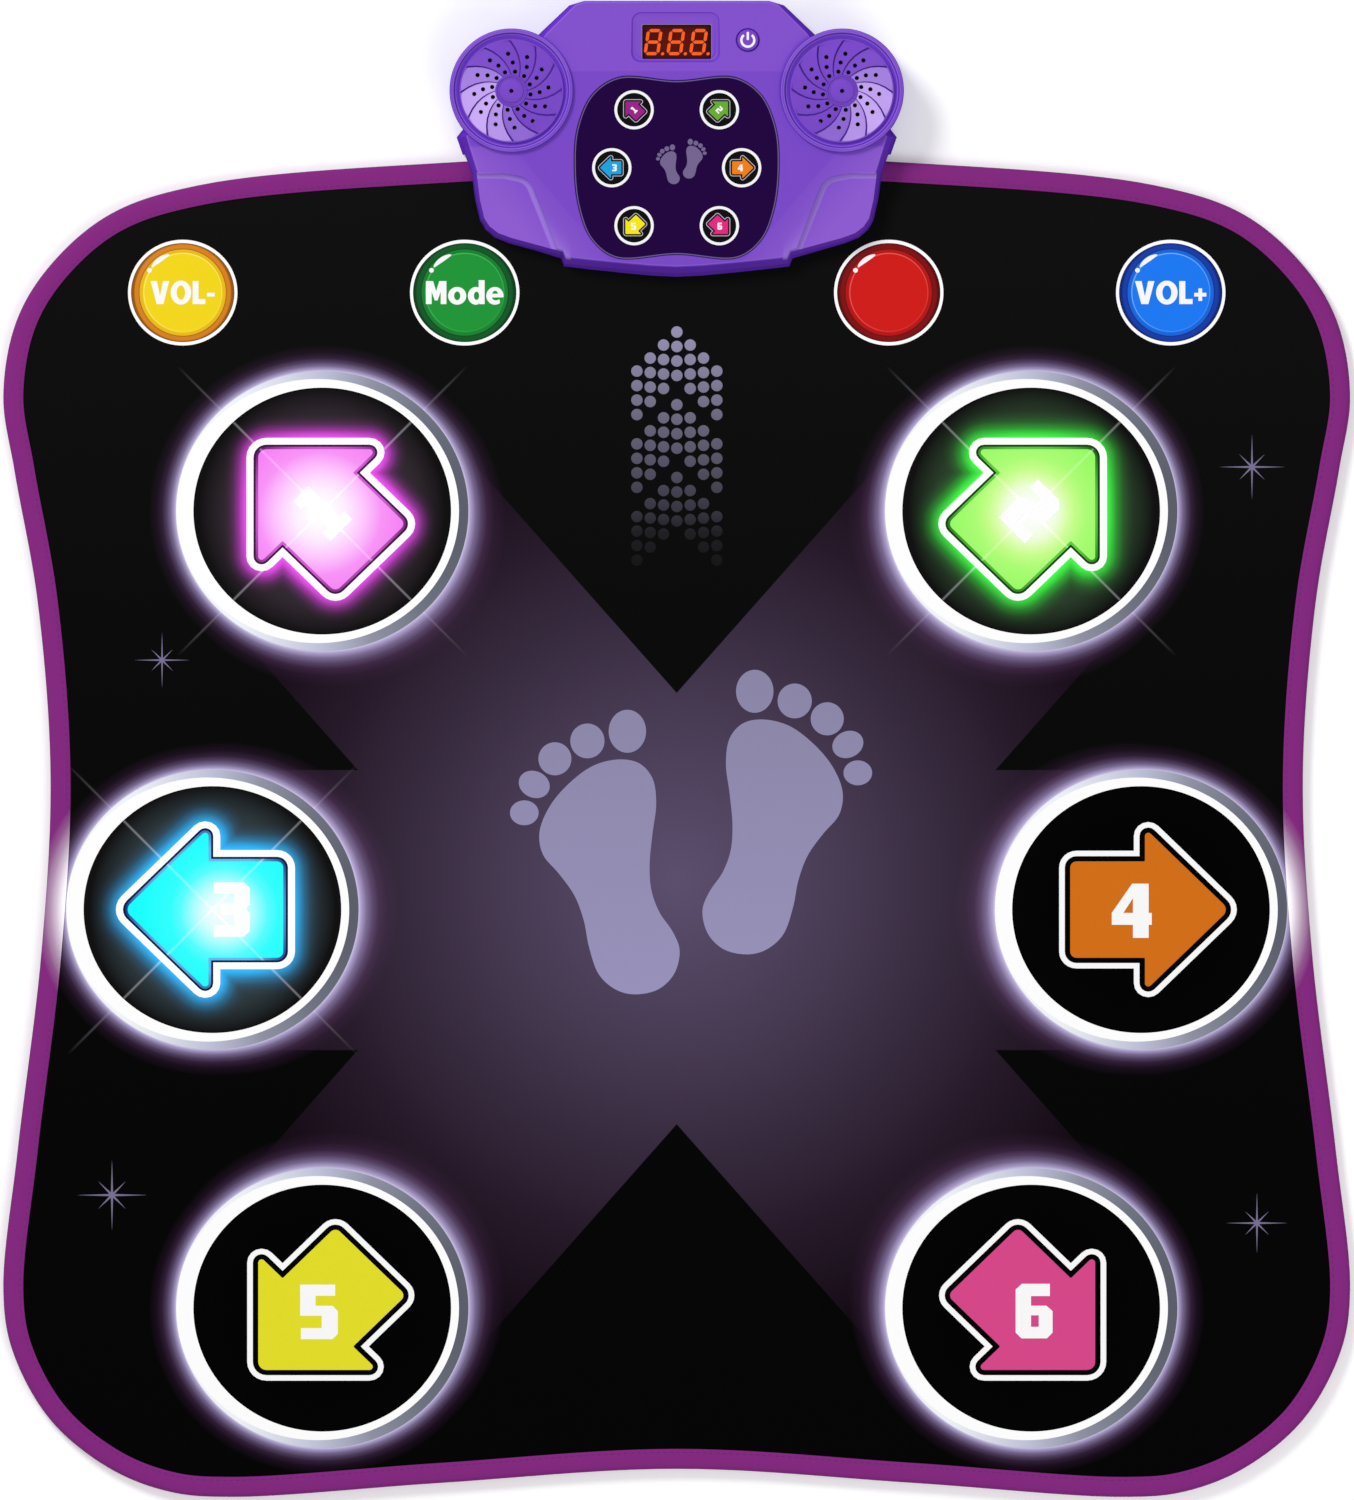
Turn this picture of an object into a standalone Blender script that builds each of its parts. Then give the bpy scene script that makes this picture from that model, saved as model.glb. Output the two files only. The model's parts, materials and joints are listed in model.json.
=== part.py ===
"""Dance rhythm machine: a six-pad floor mat with a control console clamped on its rear edge.

Metres, +Z up. The mat lies on the floor at Z 0, the dancer faces +Y, where the console stands,
and the origin is the middle of the whole machine's footprint.
"""

import math

import bmesh
import bpy
from mathutils import Matrix, Vector

# ---- Overall sizes -------------------------------------------------------------------------
MAT_WIDTH = 0.920
MAT_LENGTH = 0.916
CONSOLE_WIDTH = 0.310
CONSOLE_DEPTH = 0.1876
CONSOLE_OVERHANG = 0.105
GAP = 0.0003

# Sides of the polygons that stand for circles, from large to small.
LARGE_ROUND = 32
PAD_ROUND = 24
ROUND = 16
SMALL_ROUND = 12
BORE_ROUND = 8

MAT_FRONT = -(MAT_LENGTH + CONSOLE_OVERHANG) / 2
MAT_REAR = MAT_FRONT + MAT_LENGTH
CONSOLE_REAR = MAT_REAR + CONSOLE_OVERHANG
CONSOLE_FRONT = CONSOLE_REAR - CONSOLE_DEPTH

# ---- Mat sandwich, from the floor up -------------------------------------------------------
TAPE = 0.0007
TAPE_WIDTH = 0.0137
BACKING_RIM = 0.0008
BASE_FOAM = 0.0025
FILM = 0.0003
SPACER = 0.0018
COVER = 0.0008
BACKING_TOP = TAPE + GAP + BACKING_RIM
FOAM_TOP = BACKING_TOP + GAP + BASE_FOAM
LOWER_FILM_TOP = FOAM_TOP + GAP + FILM
SPACER_TOP = LOWER_FILM_TOP + GAP + SPACER
UPPER_FILM_TOP = SPACER_TOP + GAP + FILM
COVER_TOP = UPPER_FILM_TOP + GAP + COVER
MAT_TOP = COVER_TOP + GAP + TAPE

# ---- Pads ----------------------------------------------------------------------------------
PAD_ASPECT = 1.044
STEP_PAD_RADIUS = 0.0839
RING_WIDTH = 0.0121
CONTROL_PAD_RADIUS = 0.0335
PAD_PROUD = 0.0004
PAD_FLANGE = 0.004
PAD_CLEARANCE = 0.0005
CORNER_PAD_MARGIN = 0.2179
REAR_ROW_MARGIN = 0.2426
FRONT_ROW_MARGIN = 0.1290
CONTROL_ROW_MARGIN = 0.0934
OUTER_CONTROL_MARGIN = 0.1226
INNER_CONTROL_X = 0.1448
LIGHT_POCKET_RADIUS = 0.024
LIGHT_BOARD_THICKNESS = 0.0010
LAMP_SIZE = 0.0025

# ---- Console -------------------------------------------------------------------------------
WALL = 0.0026
FACE_TILT = math.radians(6)
FACE_FRONT_HEIGHT = 0.025
PARTING_HEIGHT = 0.015
CONSOLE_FLOOR = 0.0015
MAT_SEAT = COVER_TOP + GAP
RAISED_FLOOR = MAT_SEAT + WALL + TAPE
TAPER_FRONT = 0.40
TAPER_SIDE = 0.19
TAPER_ZONE = 0.045
POD_RADIUS = 0.0422
POD_OVERHANG = 0.0061
POD_RISE = 0.0030
POD_DEPTH_AT = 0.1267
POD_RIM = 0.0034
DISH_RADIUS = POD_RADIUS - POD_RIM
DISH_FLOOR = 0.0005
GRILLE_RADIUS = DISH_RADIUS - 0.0028
GRILLE_THICKNESS = 0.0014
SPEAKER_RADIUS = DISH_RADIUS - 0.0073
SPEAKER_OPENING = SPEAKER_RADIUS - 0.0025
MAGNET_RADIUS = 0.0160
VANES = 12
VANE_START = math.radians(11)
VANE_SWEEP = math.radians(8)
FIRST_HOLE_RADIUS = 0.0133
HOLE_PITCH = 0.00605
HOLE_RADIUS = 0.00135
HUB_RADIUS = 0.0103
HUB_WIDTH = 0.0015
HUB_HEIGHT = 0.0004
CORNER_DROP = 0.004
PANEL_WIDTH = 0.1398
PANEL_HEIGHT = 0.1228
PANEL_CENTRE = 0.0742
PANEL_THICKNESS = 0.0007
WELL_RADIUS = 0.0100
WELL_WALL = 0.0014
ICON_ROWS = (0.1136, 0.0741, 0.0346)
ICON_COLUMNS = (0.0291, 0.0443, 0.0291)
DISPLAY_AT = 0.1596
WINDOW_WIDTH = 0.0470
WINDOW_HEIGHT = 0.0234
LENS_THICKNESS = 0.0010
BEZEL_BORDER = 0.0072
BEZEL_DEPTH = 0.0016
BUTTON_X = 0.0485
BUTTON_AT = 0.1610
BUTTON_RADIUS = 0.0074
BUTTON_TRAVEL = 0.0010
BOARD_DEPTH = 0.0110
BOARD_THICKNESS = 0.0014
SWITCH_HEIGHT = 0.0035
SWITCH_SIDE = 0.0062
STEM_RADIUS = 0.0017

# ---- Batteries, door and screws ------------------------------------------------------------
CELL_RADIUS = 0.00725
CELL_LENGTH = 0.0505
CELL_NUB = 0.0013
CELL_PITCH = 0.0157
CONTACT = 0.0005
CONTACT_DOME = 0.0010
BAY_WALL = 0.0016
BAY_AT = 0.1300
DOOR_THICKNESS = 0.0018
DOOR_CLEARANCE = 0.0005
DOOR_SCREW_RADIUS = 0.00115
DOOR_SCREW_SWING = 0.0007
SCREW_RADIUS = 0.00125
SCREW_HEAD_RADIUS = 0.0028
SCREW_HEAD = 0.0009
SCREW_LENGTH = 0.016
SCREW_CLEARANCE = 0.0003
BOSS_RADIUS = 0.004
SHANK_BORE = SCREW_RADIUS + SCREW_CLEARANCE
HEAD_BORE = SCREW_HEAD_RADIUS + SCREW_CLEARANCE
DOOR_BOSS_HEIGHT = 0.008
DOOR_SCREW_LENGTH = 0.0055
DOOR_SCREW_HEAD = 0.0005
DOOR_LUG_HALF = BOSS_RADIUS + GAP * 4
HOOK_HALF = 0.003
HOOK_SLOT_HALF = 0.004
HOOK_SLOT_TOP = 0.0075
HOOK_THICKNESS = 0.0012
HOOK_RISE = 0.0018
HOOK_UNDERSIDE = 0.0008
DOOR_GRIPS = 5
GRIP_PITCH = 0.004
GRIP_HALF = 0.0008
GRIP_DEPTH = 0.0005
CONTACT_HALF = 0.005
CONTACT_LEG_HALF = 0.0015
CONTACT_SLOT_HALF = 0.0025
CROSS_LONG = 0.0015
CROSS_SHORT = 0.0004
POST_RADIUS = 0.0025
STAKE_RADIUS = 0.0011
BOARD_HALF_WIDTH = 0.064
BOARD_NECK_HALF = 0.055
BOARD_FRONT = 0.0205
BOARD_NECK = 0.134
BOARD_REAR = 0.1745
STAKE_HOLE = 0.0015
LAMP_HALF = 0.0025
LAMP_HEIGHT = 0.0016
SOLDERED = 0.0005
PLUG_HALF = 0.0025
PLUG_HEIGHT = 0.003
CASE_SCREWS = ((0.062, 0.178), (0.136, 0.098))
MAT_SCREWS = ((0.118, 0.049), (0.084, 0.027))
FOOT_RADIUS = 0.006
FOOT_RECESS = 0.0011
FOOT_AT = (0.113, 0.150)
RIBBON_WIDTH = 0.030
RIBBON_THICKNESS = 0.0004
RIBBON_AT = 0.1010

# Half outlines from the rear middle to the front middle, as shares of half width and length.
MAT_HALF = (
    (0, 1.0), (0.351, 0.9948), (0.7073, 0.9784), (0.8409, 0.9567), (0.9299, 0.9187),
    (0.9804, 0.877), (1.0, 0.821), (0.9834, 0.7651), (0.9492, 0.6682), (0.9299, 0.5377),
    (0.9433, 0.4072), (0.9789, 0.258), (1.0, 0.1536), (0.9863, 0.1089), (0.9299, 0.0574),
    (0.8409, 0.0209), (0.7518, 0.0037), (0.6627, 0), (0.351, 0.0104), (0, 0.0209),
)
WAIST_SHARE = 0.937
CONSOLE_HALF = (
    (0, 1.0), (0.443, 1.0), (0.488, 0.989), (0.6246, 0.885), (1.0, 0.5085), (0.9416, 0.3747),
    (0.9234, 0.277), (0.902, 0.205), (0.8764, 0.1706), (0.8361, 0.1429), (0.7723, 0.1226),
    (0.5319, 0.0672), (0.5165, 0.0378), (0.3895, 0.0261), (0.2532, 0.0149), (0.1209, 0.0048),
    (0, 0),
)
CORNER_STEP = (
    (1.2, 0.3747), (0.79, 0.3747), (0.73, 0.367), (0.68, 0.347), (0.641, 0.3177),
    (0.538, 0.0837), (0.50, -0.05), (1.2, -0.05),
)
PANEL_HALF = (
    (0, 0.9625), (0.5665, 1.0), (0.8255, 0.8094), (0.97, 0.4365), (1.0, 0.01),
    (0.9585, -0.4349), (0.834, -0.7964), (0.5966, -1.0), (0, -0.9642),
)

FACE = Matrix.Translation((0, CONSOLE_FRONT, FACE_FRONT_HEIGHT)) @ Matrix.Rotation(FACE_TILT, 4, "X")
POD_X = CONSOLE_WIDTH / 2 - POD_RADIUS
BOARD_TOP = -BOARD_DEPTH
BOARD_BOTTOM = BOARD_TOP - BOARD_THICKNESS

FINISHES = {
    "print_black": ((0.008, 0.008, 0.008), 0.55, 0.0),
    "binding_purple": ((0.228, 0.020, 0.216), 0.65, 0.0),
    "backing_grey": ((0.05, 0.05, 0.055), 0.85, 0.0),
    "foam_white": ((0.75, 0.75, 0.73), 0.9, 0.0),
    "film_clear": ((0.62, 0.66, 0.68), 0.35, 0.0),
    "pad_violet": ((0.86, 0.25, 0.87), 0.5, 0.0),
    "pad_green": ((0.28, 0.9, 0.16), 0.5, 0.0),
    "pad_cyan": ((0.03, 0.85, 0.95), 0.5, 0.0),
    "pad_orange": ((0.62, 0.15, 0.01), 0.5, 0.0),
    "pad_yellow": ((0.74, 0.71, 0.02), 0.5, 0.0),
    "pad_pink": ((0.68, 0.06, 0.25), 0.5, 0.0),
    "key_yellow": ((0.91, 0.68, 0.01), 0.4, 0.0),
    "key_green": ((0.014, 0.30, 0.04), 0.4, 0.0),
    "key_red": ((0.64, 0.012, 0.01), 0.4, 0.0),
    "key_blue": ((0.011, 0.20, 0.92), 0.4, 0.0),
    "shell_purple": ((0.184, 0.061, 0.546), 0.38, 0.0),
    "panel_dark": ((0.017, 0.002, 0.053), 0.2, 0.0),
    "lens_red": ((0.16, 0.012, 0.006), 0.1, 0.0),
    "display_black": ((0.02, 0.02, 0.02), 0.5, 0.0),
    "board_green": ((0.01, 0.09, 0.03), 0.45, 0.0),
    "reflector_white": ((0.8, 0.8, 0.78), 0.4, 0.0),
    "steel": ((0.55, 0.55, 0.56), 0.3, 1.0),
    "paper_black": ((0.02, 0.02, 0.022), 0.8, 0.0),
    "cell_jacket": ((0.03, 0.12, 0.32), 0.3, 0.2),
    "rubber_black": ((0.02, 0.02, 0.02), 0.9, 0.0),
    "wire_red": ((0.5, 0.02, 0.02), 0.5, 0.0),
}


# ---- Scene helpers -------------------------------------------------------------------------
def clear_scene():
    for obj in list(bpy.data.objects):
        bpy.data.objects.remove(obj)


def new_collection(name):
    collection = bpy.data.collections.new(name)
    bpy.context.scene.collection.children.link(collection)
    return collection


def finish_material(name):
    if name in bpy.data.materials:
        return bpy.data.materials[name]
    colour, roughness, metallic = FINISHES[name]
    material = bpy.data.materials.new(name)
    material.use_nodes = True
    shader = material.node_tree.nodes["Principled BSDF"]
    shader.inputs["Base Color"].default_value = (*colour, 1)
    shader.inputs["Roughness"].default_value = roughness
    shader.inputs["Metallic"].default_value = metallic
    return material


def add(name, mesh, finish=None, matrix=None):
    """A part when it has a finish, and a hidden cutter or joined piece when it has none."""
    obj = bpy.data.objects.new(name, mesh)
    (PARTS if finish else CUTTERS).objects.link(obj)
    obj.matrix_world = matrix or Matrix.Identity(4)
    if finish:
        mesh.materials.append(finish_material(finish))
    else:
        obj.hide_render = True
        obj.display_type = "WIRE"
    return obj


def boolean(target, operation, *tools):
    for tool in tools:
        modifier = target.modifiers.new(operation.title(), "BOOLEAN")
        modifier.operation = operation
        modifier.object = tool
    return target


def cut(target, *tools):
    return boolean(target, "DIFFERENCE", *tools)


def join(target, *tools):
    return boolean(target, "UNION", *tools)


# ---- Outlines ------------------------------------------------------------------------------
def mirrored(half):
    """A whole loop from the half at +X that runs from the rear middle to the front middle."""
    return list(half) + [(-x, y) for x, y in reversed(half[1:-1])]


def smooth_loop(points, steps):
    """A closed centripetal Catmull-Rom curve through the points."""
    loop, count = [], len(points)
    for i in range(count):
        p = [Vector(points[(i + k - 1) % count]) for k in range(4)]
        t = [0.0]
        for a, b in zip(p, p[1:]):
            t.append(t[-1] + math.sqrt((b - a).length))
        for step in range(steps):
            at = t[1] + (t[2] - t[1]) * step / steps
            level = p
            for width in (1, 2, 3):
                lower = []
                for k in range(len(level) - 1):
                    # The middle span is shared by the two widest blends of the pyramid.
                    low, high = (t[1], t[2]) if width == 3 else (t[k], t[k + width])
                    share = (at - low) / (high - low)
                    lower.append(level[k].lerp(level[k + 1], share))
                level = lower
            loop.append((level[0].x, level[0].y))
    return loop


def inset(loop, distance):
    """The loop moved inwards, with mitred corners."""
    area = sum(a[0] * b[1] - b[0] * a[1] for a, b in zip(loop, loop[1:] + loop[:1]))
    side = 1 if area > 0 else -1
    moved = []
    for i, here in enumerate(loop):
        before = (Vector(here) - Vector(loop[i - 1])).normalized()
        after = (Vector(loop[(i + 1) % len(loop)]) - Vector(here)).normalized()
        across = Vector((-(before + after).y, (before + after).x)).normalized() * side
        mitre = max(0.5, across.dot(Vector((-after.y, after.x)) * side))
        moved.append(tuple(Vector(here) + across * distance / mitre))
    return moved


def ellipse(x, y, radius, count, aspect=1.0):
    turns = [2 * math.pi * k / count for k in range(count)]
    return [(x + radius * aspect * math.cos(a), y + radius * math.sin(a)) for a in turns]


def rounded_rectangle(x, y, width, height, radius, count=4):
    loop = []
    for quarter, (sx, sy) in enumerate(((1, 1), (-1, 1), (-1, -1), (1, -1))):
        cx, cy = x + sx * (width / 2 - radius), y + sy * (height / 2 - radius)
        for k in range(count + 1):
            angle = math.pi / 2 * (quarter + k / count)
            loop.append((cx + radius * math.cos(angle), cy + radius * math.sin(angle)))
    return loop


# ---- Solids --------------------------------------------------------------------------------
def plate_mesh(name, loops, low, high):
    """A flat sheet: the first loop is its edge and the others are its holes."""
    curve = bpy.data.curves.new(name, "CURVE")
    curve.dimensions = "2D"
    curve.fill_mode = "BOTH"
    curve.extrude = (high - low) / 2
    for loop in loops:
        spline = curve.splines.new("POLY")
        spline.points.add(len(loop) - 1)
        for point, (x, y) in zip(spline.points, loop):
            point.co = (x, y, 0, 1)
        spline.use_cyclic_u = True
    guide = bpy.data.objects.new(name + "_outline", curve)
    CUTTERS.objects.link(guide)
    bpy.context.view_layer.update()
    graph = bpy.context.evaluated_depsgraph_get()
    mesh = bpy.data.meshes.new_from_object(guide.evaluated_get(graph))
    bpy.data.objects.remove(guide)
    mesh.name = name
    shape = bmesh.new()
    shape.from_mesh(mesh)
    bmesh.ops.remove_doubles(shape, verts=shape.verts, dist=1e-6)
    bmesh.ops.translate(shape, verts=shape.verts, vec=(0, 0, (low + high) / 2))
    bmesh.ops.recalc_face_normals(shape, faces=shape.faces)
    shape.to_mesh(mesh)
    shape.free()
    mesh.materials.clear()
    return mesh


def plate(name, loops, low, high, finish=None, matrix=None):
    return add(name, plate_mesh(name, loops, low, high), finish, matrix)


def turned(name, profile, steps, finish=None, matrix=None, aspect=1.0):
    """A profile of (radius, height), from the axis at the top round its outside to the axis below."""
    shape = bmesh.new()
    points = [shape.verts.new((radius, 0, height)) for radius, height in profile]
    for a, b in zip(points, points[1:]):
        shape.edges.new((a, b))
    mesh = bpy.data.meshes.new(name)
    shape.to_mesh(mesh)
    shape.free()
    obj = add(name, mesh, finish, matrix)
    obj.scale.x *= aspect
    screw = obj.modifiers.new("Turn", "SCREW")
    screw.steps = screw.render_steps = steps
    screw.use_merge_vertices = True
    screw.merge_threshold = 0.00001
    return obj


def disc(name, radius, low, high, steps=16, finish=None, at=(0, 0), matrix=None):
    placed = (matrix or Matrix.Identity(4)) @ Matrix.Translation((*at, 0))
    profile = ((0, high), (radius, high), (radius, low), (0, low))
    return turned(name, profile, steps, finish, placed)


def box(name, low, high, finish=None, matrix=None):
    shape = bmesh.new()
    bmesh.ops.create_cube(shape, size=1)
    bmesh.ops.scale(shape, verts=shape.verts, vec=[b - a for a, b in zip(low, high)])
    bmesh.ops.translate(shape, verts=shape.verts, vec=[(a + b) / 2 for a, b in zip(low, high)])
    mesh = bpy.data.meshes.new(name)
    shape.to_mesh(mesh)
    shape.free()
    return add(name, mesh, finish, matrix)


def wire(name, route, radius, finish):
    """A round lead through hand-chosen points, smoothed by a Catmull-Rom blend."""
    points = [Vector(p) for p in route]
    line = []
    for i in range(len(points) - 1):
        a, d = points[max(i - 1, 0)], points[min(i + 2, len(points) - 1)]
        b, c = points[i], points[i + 1]
        for step in range(3):
            t = step / 3
            line.append(
                b
                + (c - a) * t / 2
                + (2 * a - 5 * b + 4 * c - d) * t * t / 2
                + (3 * b - a - 3 * c + d) * t**3 / 2
            )
    line.append(points[-1])
    curve = bpy.data.curves.new(name, "CURVE")
    curve.dimensions = "3D"
    curve.bevel_depth = radius
    curve.bevel_resolution = 1
    curve.use_fill_caps = True
    spline = curve.splines.new("POLY")
    spline.points.add(len(line) - 1)
    for point, place in zip(spline.points, line):
        point.co = (*place, 1)
    obj = bpy.data.objects.new(name, curve)
    PARTS.objects.link(obj)
    curve.materials.append(finish_material(finish))
    return obj


def pivot_at(obj, point):
    """Moves an object's origin onto its joint's axis, and leaves its shape where it is."""
    obj.data.transform(Matrix.Translation(-Vector(point)))
    obj.matrix_world = Matrix.Translation(point)


def on_face(x, depth, above=0.0):
    """World point of a place on the console's face: depth is measured back from its front tip."""
    return FACE @ Vector((x, depth / math.cos(FACE_TILT), above))


def face_loop(loop):
    """A plan outline, measured from the console's front tip, laid into the face's own plane."""
    return [(x, y / math.cos(FACE_TILT)) for x, y in loop]


# ---- Mat -----------------------------------------------------------------------------------
def mat_outline():
    half = [(x * MAT_WIDTH / 2, MAT_FRONT + y * MAT_LENGTH) for x, y in MAT_HALF]
    return smooth_loop(mirrored(half), 2)


def step_pad_places():
    """Places in the order of the numbers 1 to 6: left then right, from the rear row forward."""
    corner_x = MAT_WIDTH / 2 - CORNER_PAD_MARGIN
    ring_reach = (STEP_PAD_RADIUS + RING_WIDTH) * PAD_ASPECT
    middle_x = WAIST_SHARE * MAT_WIDTH / 2 - TAPE_WIDTH - ring_reach
    rear, front = MAT_REAR - REAR_ROW_MARGIN, MAT_FRONT + FRONT_ROW_MARGIN
    rows = ((corner_x, rear), (middle_x, (rear + front) / 2), (corner_x, front))
    return [(side * x, y) for x, y in rows for side in (-1, 1)]


def control_pad_places():
    y = MAT_REAR - CONTROL_ROW_MARGIN
    outer = MAT_WIDTH / 2 - OUTER_CONTROL_MARGIN
    return [(-outer, y), (-INNER_CONTROL_X, y), (INNER_CONTROL_X, y), (outer, y)]


def pad_holes(margin, step_round, key_round):
    """Elliptical openings round every pad, that much wider than its printed face."""
    steps = [(place, STEP_PAD_RADIUS, step_round) for place in step_pad_places()]
    keys = [(place, CONTROL_PAD_RADIUS, key_round) for place in control_pad_places()]
    return [ellipse(*at, radius + margin, count, PAD_ASPECT) for at, radius, count in steps + keys]


def mat_screw_places():
    return [(s * x, CONSOLE_FRONT + y) for x, y in MAT_SCREWS for s in (-1, 1)]


def screw_holes(radius):
    return [ellipse(x, y, radius, BORE_ROUND) for x, y in mat_screw_places()]


def build_mat():
    outline = mat_outline()
    sheet = inset(outline, TAPE + GAP)
    inner = inset(outline, TAPE_WIDTH)

    binding = plate("edge_binding", [outline, inner], 0, MAT_TOP, "binding_purple")
    slot = plate("binding_slot", [inset(outline, TAPE)], TAPE, MAT_TOP - TAPE)
    tail_slot = box(
        "binding_tail_slot",
        (-RIBBON_WIDTH / 2 - GAP * 3, MAT_REAR - TAPE_WIDTH / 2, FOAM_TOP),
        (RIBBON_WIDTH / 2 + GAP * 3, MAT_REAR + TAPE, LOWER_FILM_TOP + GAP),
    )
    cut(binding, slot, tail_slot)

    rim = [sheet, *screw_holes(SHANK_BORE)]
    backing = plate("bottom_cover", rim, TAPE + GAP, BACKING_TOP, "backing_grey")
    middle_top = TAPE + GAP + BACKING_RIM / 2
    middle = plate("backing_middle", [inset(inner, GAP), *screw_holes(HEAD_BORE)], 0, middle_top)
    join(backing, middle)

    pockets = [ellipse(x, y, LIGHT_POCKET_RADIUS, SMALL_ROUND) for x, y in step_pad_places()]
    plate(
        "foam_base", [sheet, *pockets, *screw_holes(SHANK_BORE)], BACKING_TOP + GAP, FOAM_TOP, "foam_white"
    )

    film = plate(
        "lower_contact_film", [sheet, *screw_holes(SHANK_BORE)], FOAM_TOP + GAP, LOWER_FILM_TOP, "film_clear"
    )
    tab = box(
        "film_tab",
        (-RIBBON_WIDTH / 2, MAT_REAR - TAPE_WIDTH, FOAM_TOP + GAP),
        (RIBBON_WIDTH / 2, tail_start(), LOWER_FILM_TOP),
    )
    join(film, tab)

    # Coarser openings bow inwards between their corners, so they get more room round the flanges.
    flange = PAD_FLANGE + PAD_CLEARANCE * 4
    plate(
        "spacer_foam",
        [sheet, *pad_holes(flange, ROUND, SMALL_ROUND), *screw_holes(SHANK_BORE)],
        LOWER_FILM_TOP + GAP,
        SPACER_TOP,
        "foam_white",
    )
    plate(
        "upper_contact_film",
        [sheet, *pad_holes(flange, ROUND, SMALL_ROUND), *screw_holes(SHANK_BORE)],
        SPACER_TOP + GAP,
        UPPER_FILM_TOP,
        "film_clear",
    )
    plate(
        "top_cover",
        [sheet, *pad_holes(PAD_CLEARANCE, PAD_ROUND, ROUND), *screw_holes(SHANK_BORE)],
        UPPER_FILM_TOP + GAP,
        COVER_TOP,
        "print_black",
    )


def pad(name, place, radius, steps, finish):
    """A printed disc with a wider flange of contact film under the cover."""
    low, flange_top, top = SPACER_TOP + GAP, UPPER_FILM_TOP, COVER_TOP + PAD_PROUD
    profile = (
        (0, top), (radius, top), (radius, flange_top), (radius + PAD_FLANGE, flange_top),
        (radius + PAD_FLANGE, low), (0, low),
    )
    turned(name, profile, steps, finish, Matrix.Translation((*place, 0)), PAD_ASPECT)


def build_pads():
    colours = ("violet", "green", "cyan", "orange", "yellow", "pink")
    for number, (place, colour) in enumerate(zip(step_pad_places(), colours), 1):
        pad(f"step_pad_{number}", place, STEP_PAD_RADIUS, PAD_ROUND, f"pad_{colour}")
    keys = (
        ("volume_down", "yellow"), ("mode", "green"), ("source", "red"), ("volume_up", "blue"),
    )
    for place, (key, colour) in zip(control_pad_places(), keys):
        pad(f"control_pad_{key}", place, CONTROL_PAD_RADIUS, ROUND, f"key_{colour}")


def build_light_boards():
    """Round lamp boards in pockets of the base foam, each with three lamps under its arrow."""
    low = BACKING_TOP + GAP
    top = low + LIGHT_BOARD_THICKNESS
    for number, (x, y) in enumerate(step_pad_places(), 1):
        radius = LIGHT_POCKET_RADIUS - GAP * 2
        board = disc(f"light_board_{number}", radius, low, top, SMALL_ROUND, "board_green", (x, y))
        for k in range(3):
            turn = 2 * math.pi * k / 3
            at = (x + radius * 0.5 * math.cos(turn), y + radius * 0.5 * math.sin(turn))
            join(board, disc(f"lamp_{number}_{k}", LAMP_SIZE, low + GAP, FOAM_TOP, 4, None, at))


# ---- Console housing -----------------------------------------------------------------------
def console_outline():
    half_width = CONSOLE_WIDTH / 2 - POD_OVERHANG
    half = [(x * half_width, y * CONSOLE_DEPTH) for x, y in CONSOLE_HALF]
    return mirrored(half)


def tapered(x, y, height):
    """Where a wall point of the mat-level outline lies at another height."""
    rise = height - MAT_SEAT
    half_width = CONSOLE_WIDTH / 2 - POD_OVERHANG
    share = max(0.0, 1 - y / TAPER_ZONE)
    return x * (1 - TAPER_SIDE * rise / half_width), y + TAPER_FRONT * rise * share


def console_prism(name, outline, low, high):
    """The console's drafted outline between two heights."""
    mesh = plate_mesh(name, [outline], low, high)
    middle = (low + high) / 2
    for vertex in mesh.vertices:
        height = low if vertex.co.z < middle else high
        x, y = tapered(vertex.co.x, vertex.co.y, height)
        vertex.co = (x, CONSOLE_FRONT + y, height)
    return add(name, mesh)


def trim_above_face(obj, above):
    """Cuts a hidden solid off at a plane parallel to the console's face, and closes it."""
    shape = bmesh.new()
    shape.from_mesh(obj.data)
    to_local = obj.matrix_world.inverted()
    point = to_local @ (FACE @ Vector((0, 0, above)))
    normal = (to_local.to_3x3() @ (FACE.to_3x3() @ Vector((0, 0, 1)))).normalized()
    everything = list(shape.verts) + list(shape.edges) + list(shape.faces)
    done = bmesh.ops.bisect_plane(
        shape, geom=everything, dist=1e-7, plane_co=point, plane_no=normal, clear_outer=True
    )
    rim = [e for e in done["geom_cut"] if isinstance(e, bmesh.types.BMEdge)]
    bmesh.ops.contextual_create(shape, geom=rim)
    bmesh.ops.recalc_face_normals(shape, faces=shape.faces)
    shape.to_mesh(obj.data)
    shape.free()
    return obj


def pod_cylinder(name, side, radius, low, above):
    """An upright pod of the console, cut off parallel to its face."""
    loop = ellipse(side * POD_X, CONSOLE_FRONT + POD_DEPTH_AT, radius, LARGE_ROUND)
    high = FACE_FRONT_HEIGHT + CONSOLE_DEPTH / 2
    obj = plate(name, [loop], low, high)
    return trim_above_face(obj, above) if above is not None else obj


def corner_block(name, side, margin, above):
    """The space over a dropped front corner, in the face's plane."""
    half_width = CONSOLE_WIDTH / 2 - POD_OVERHANG
    loop = [(x * half_width, y * CONSOLE_DEPTH) for x, y in CORNER_STEP]
    loop = inset(loop, margin) if margin else loop
    loop = [(side * x, y) for x, y in face_loop(loop)]
    return plate(name, [loop], above, 0.02, None, FACE)


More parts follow.
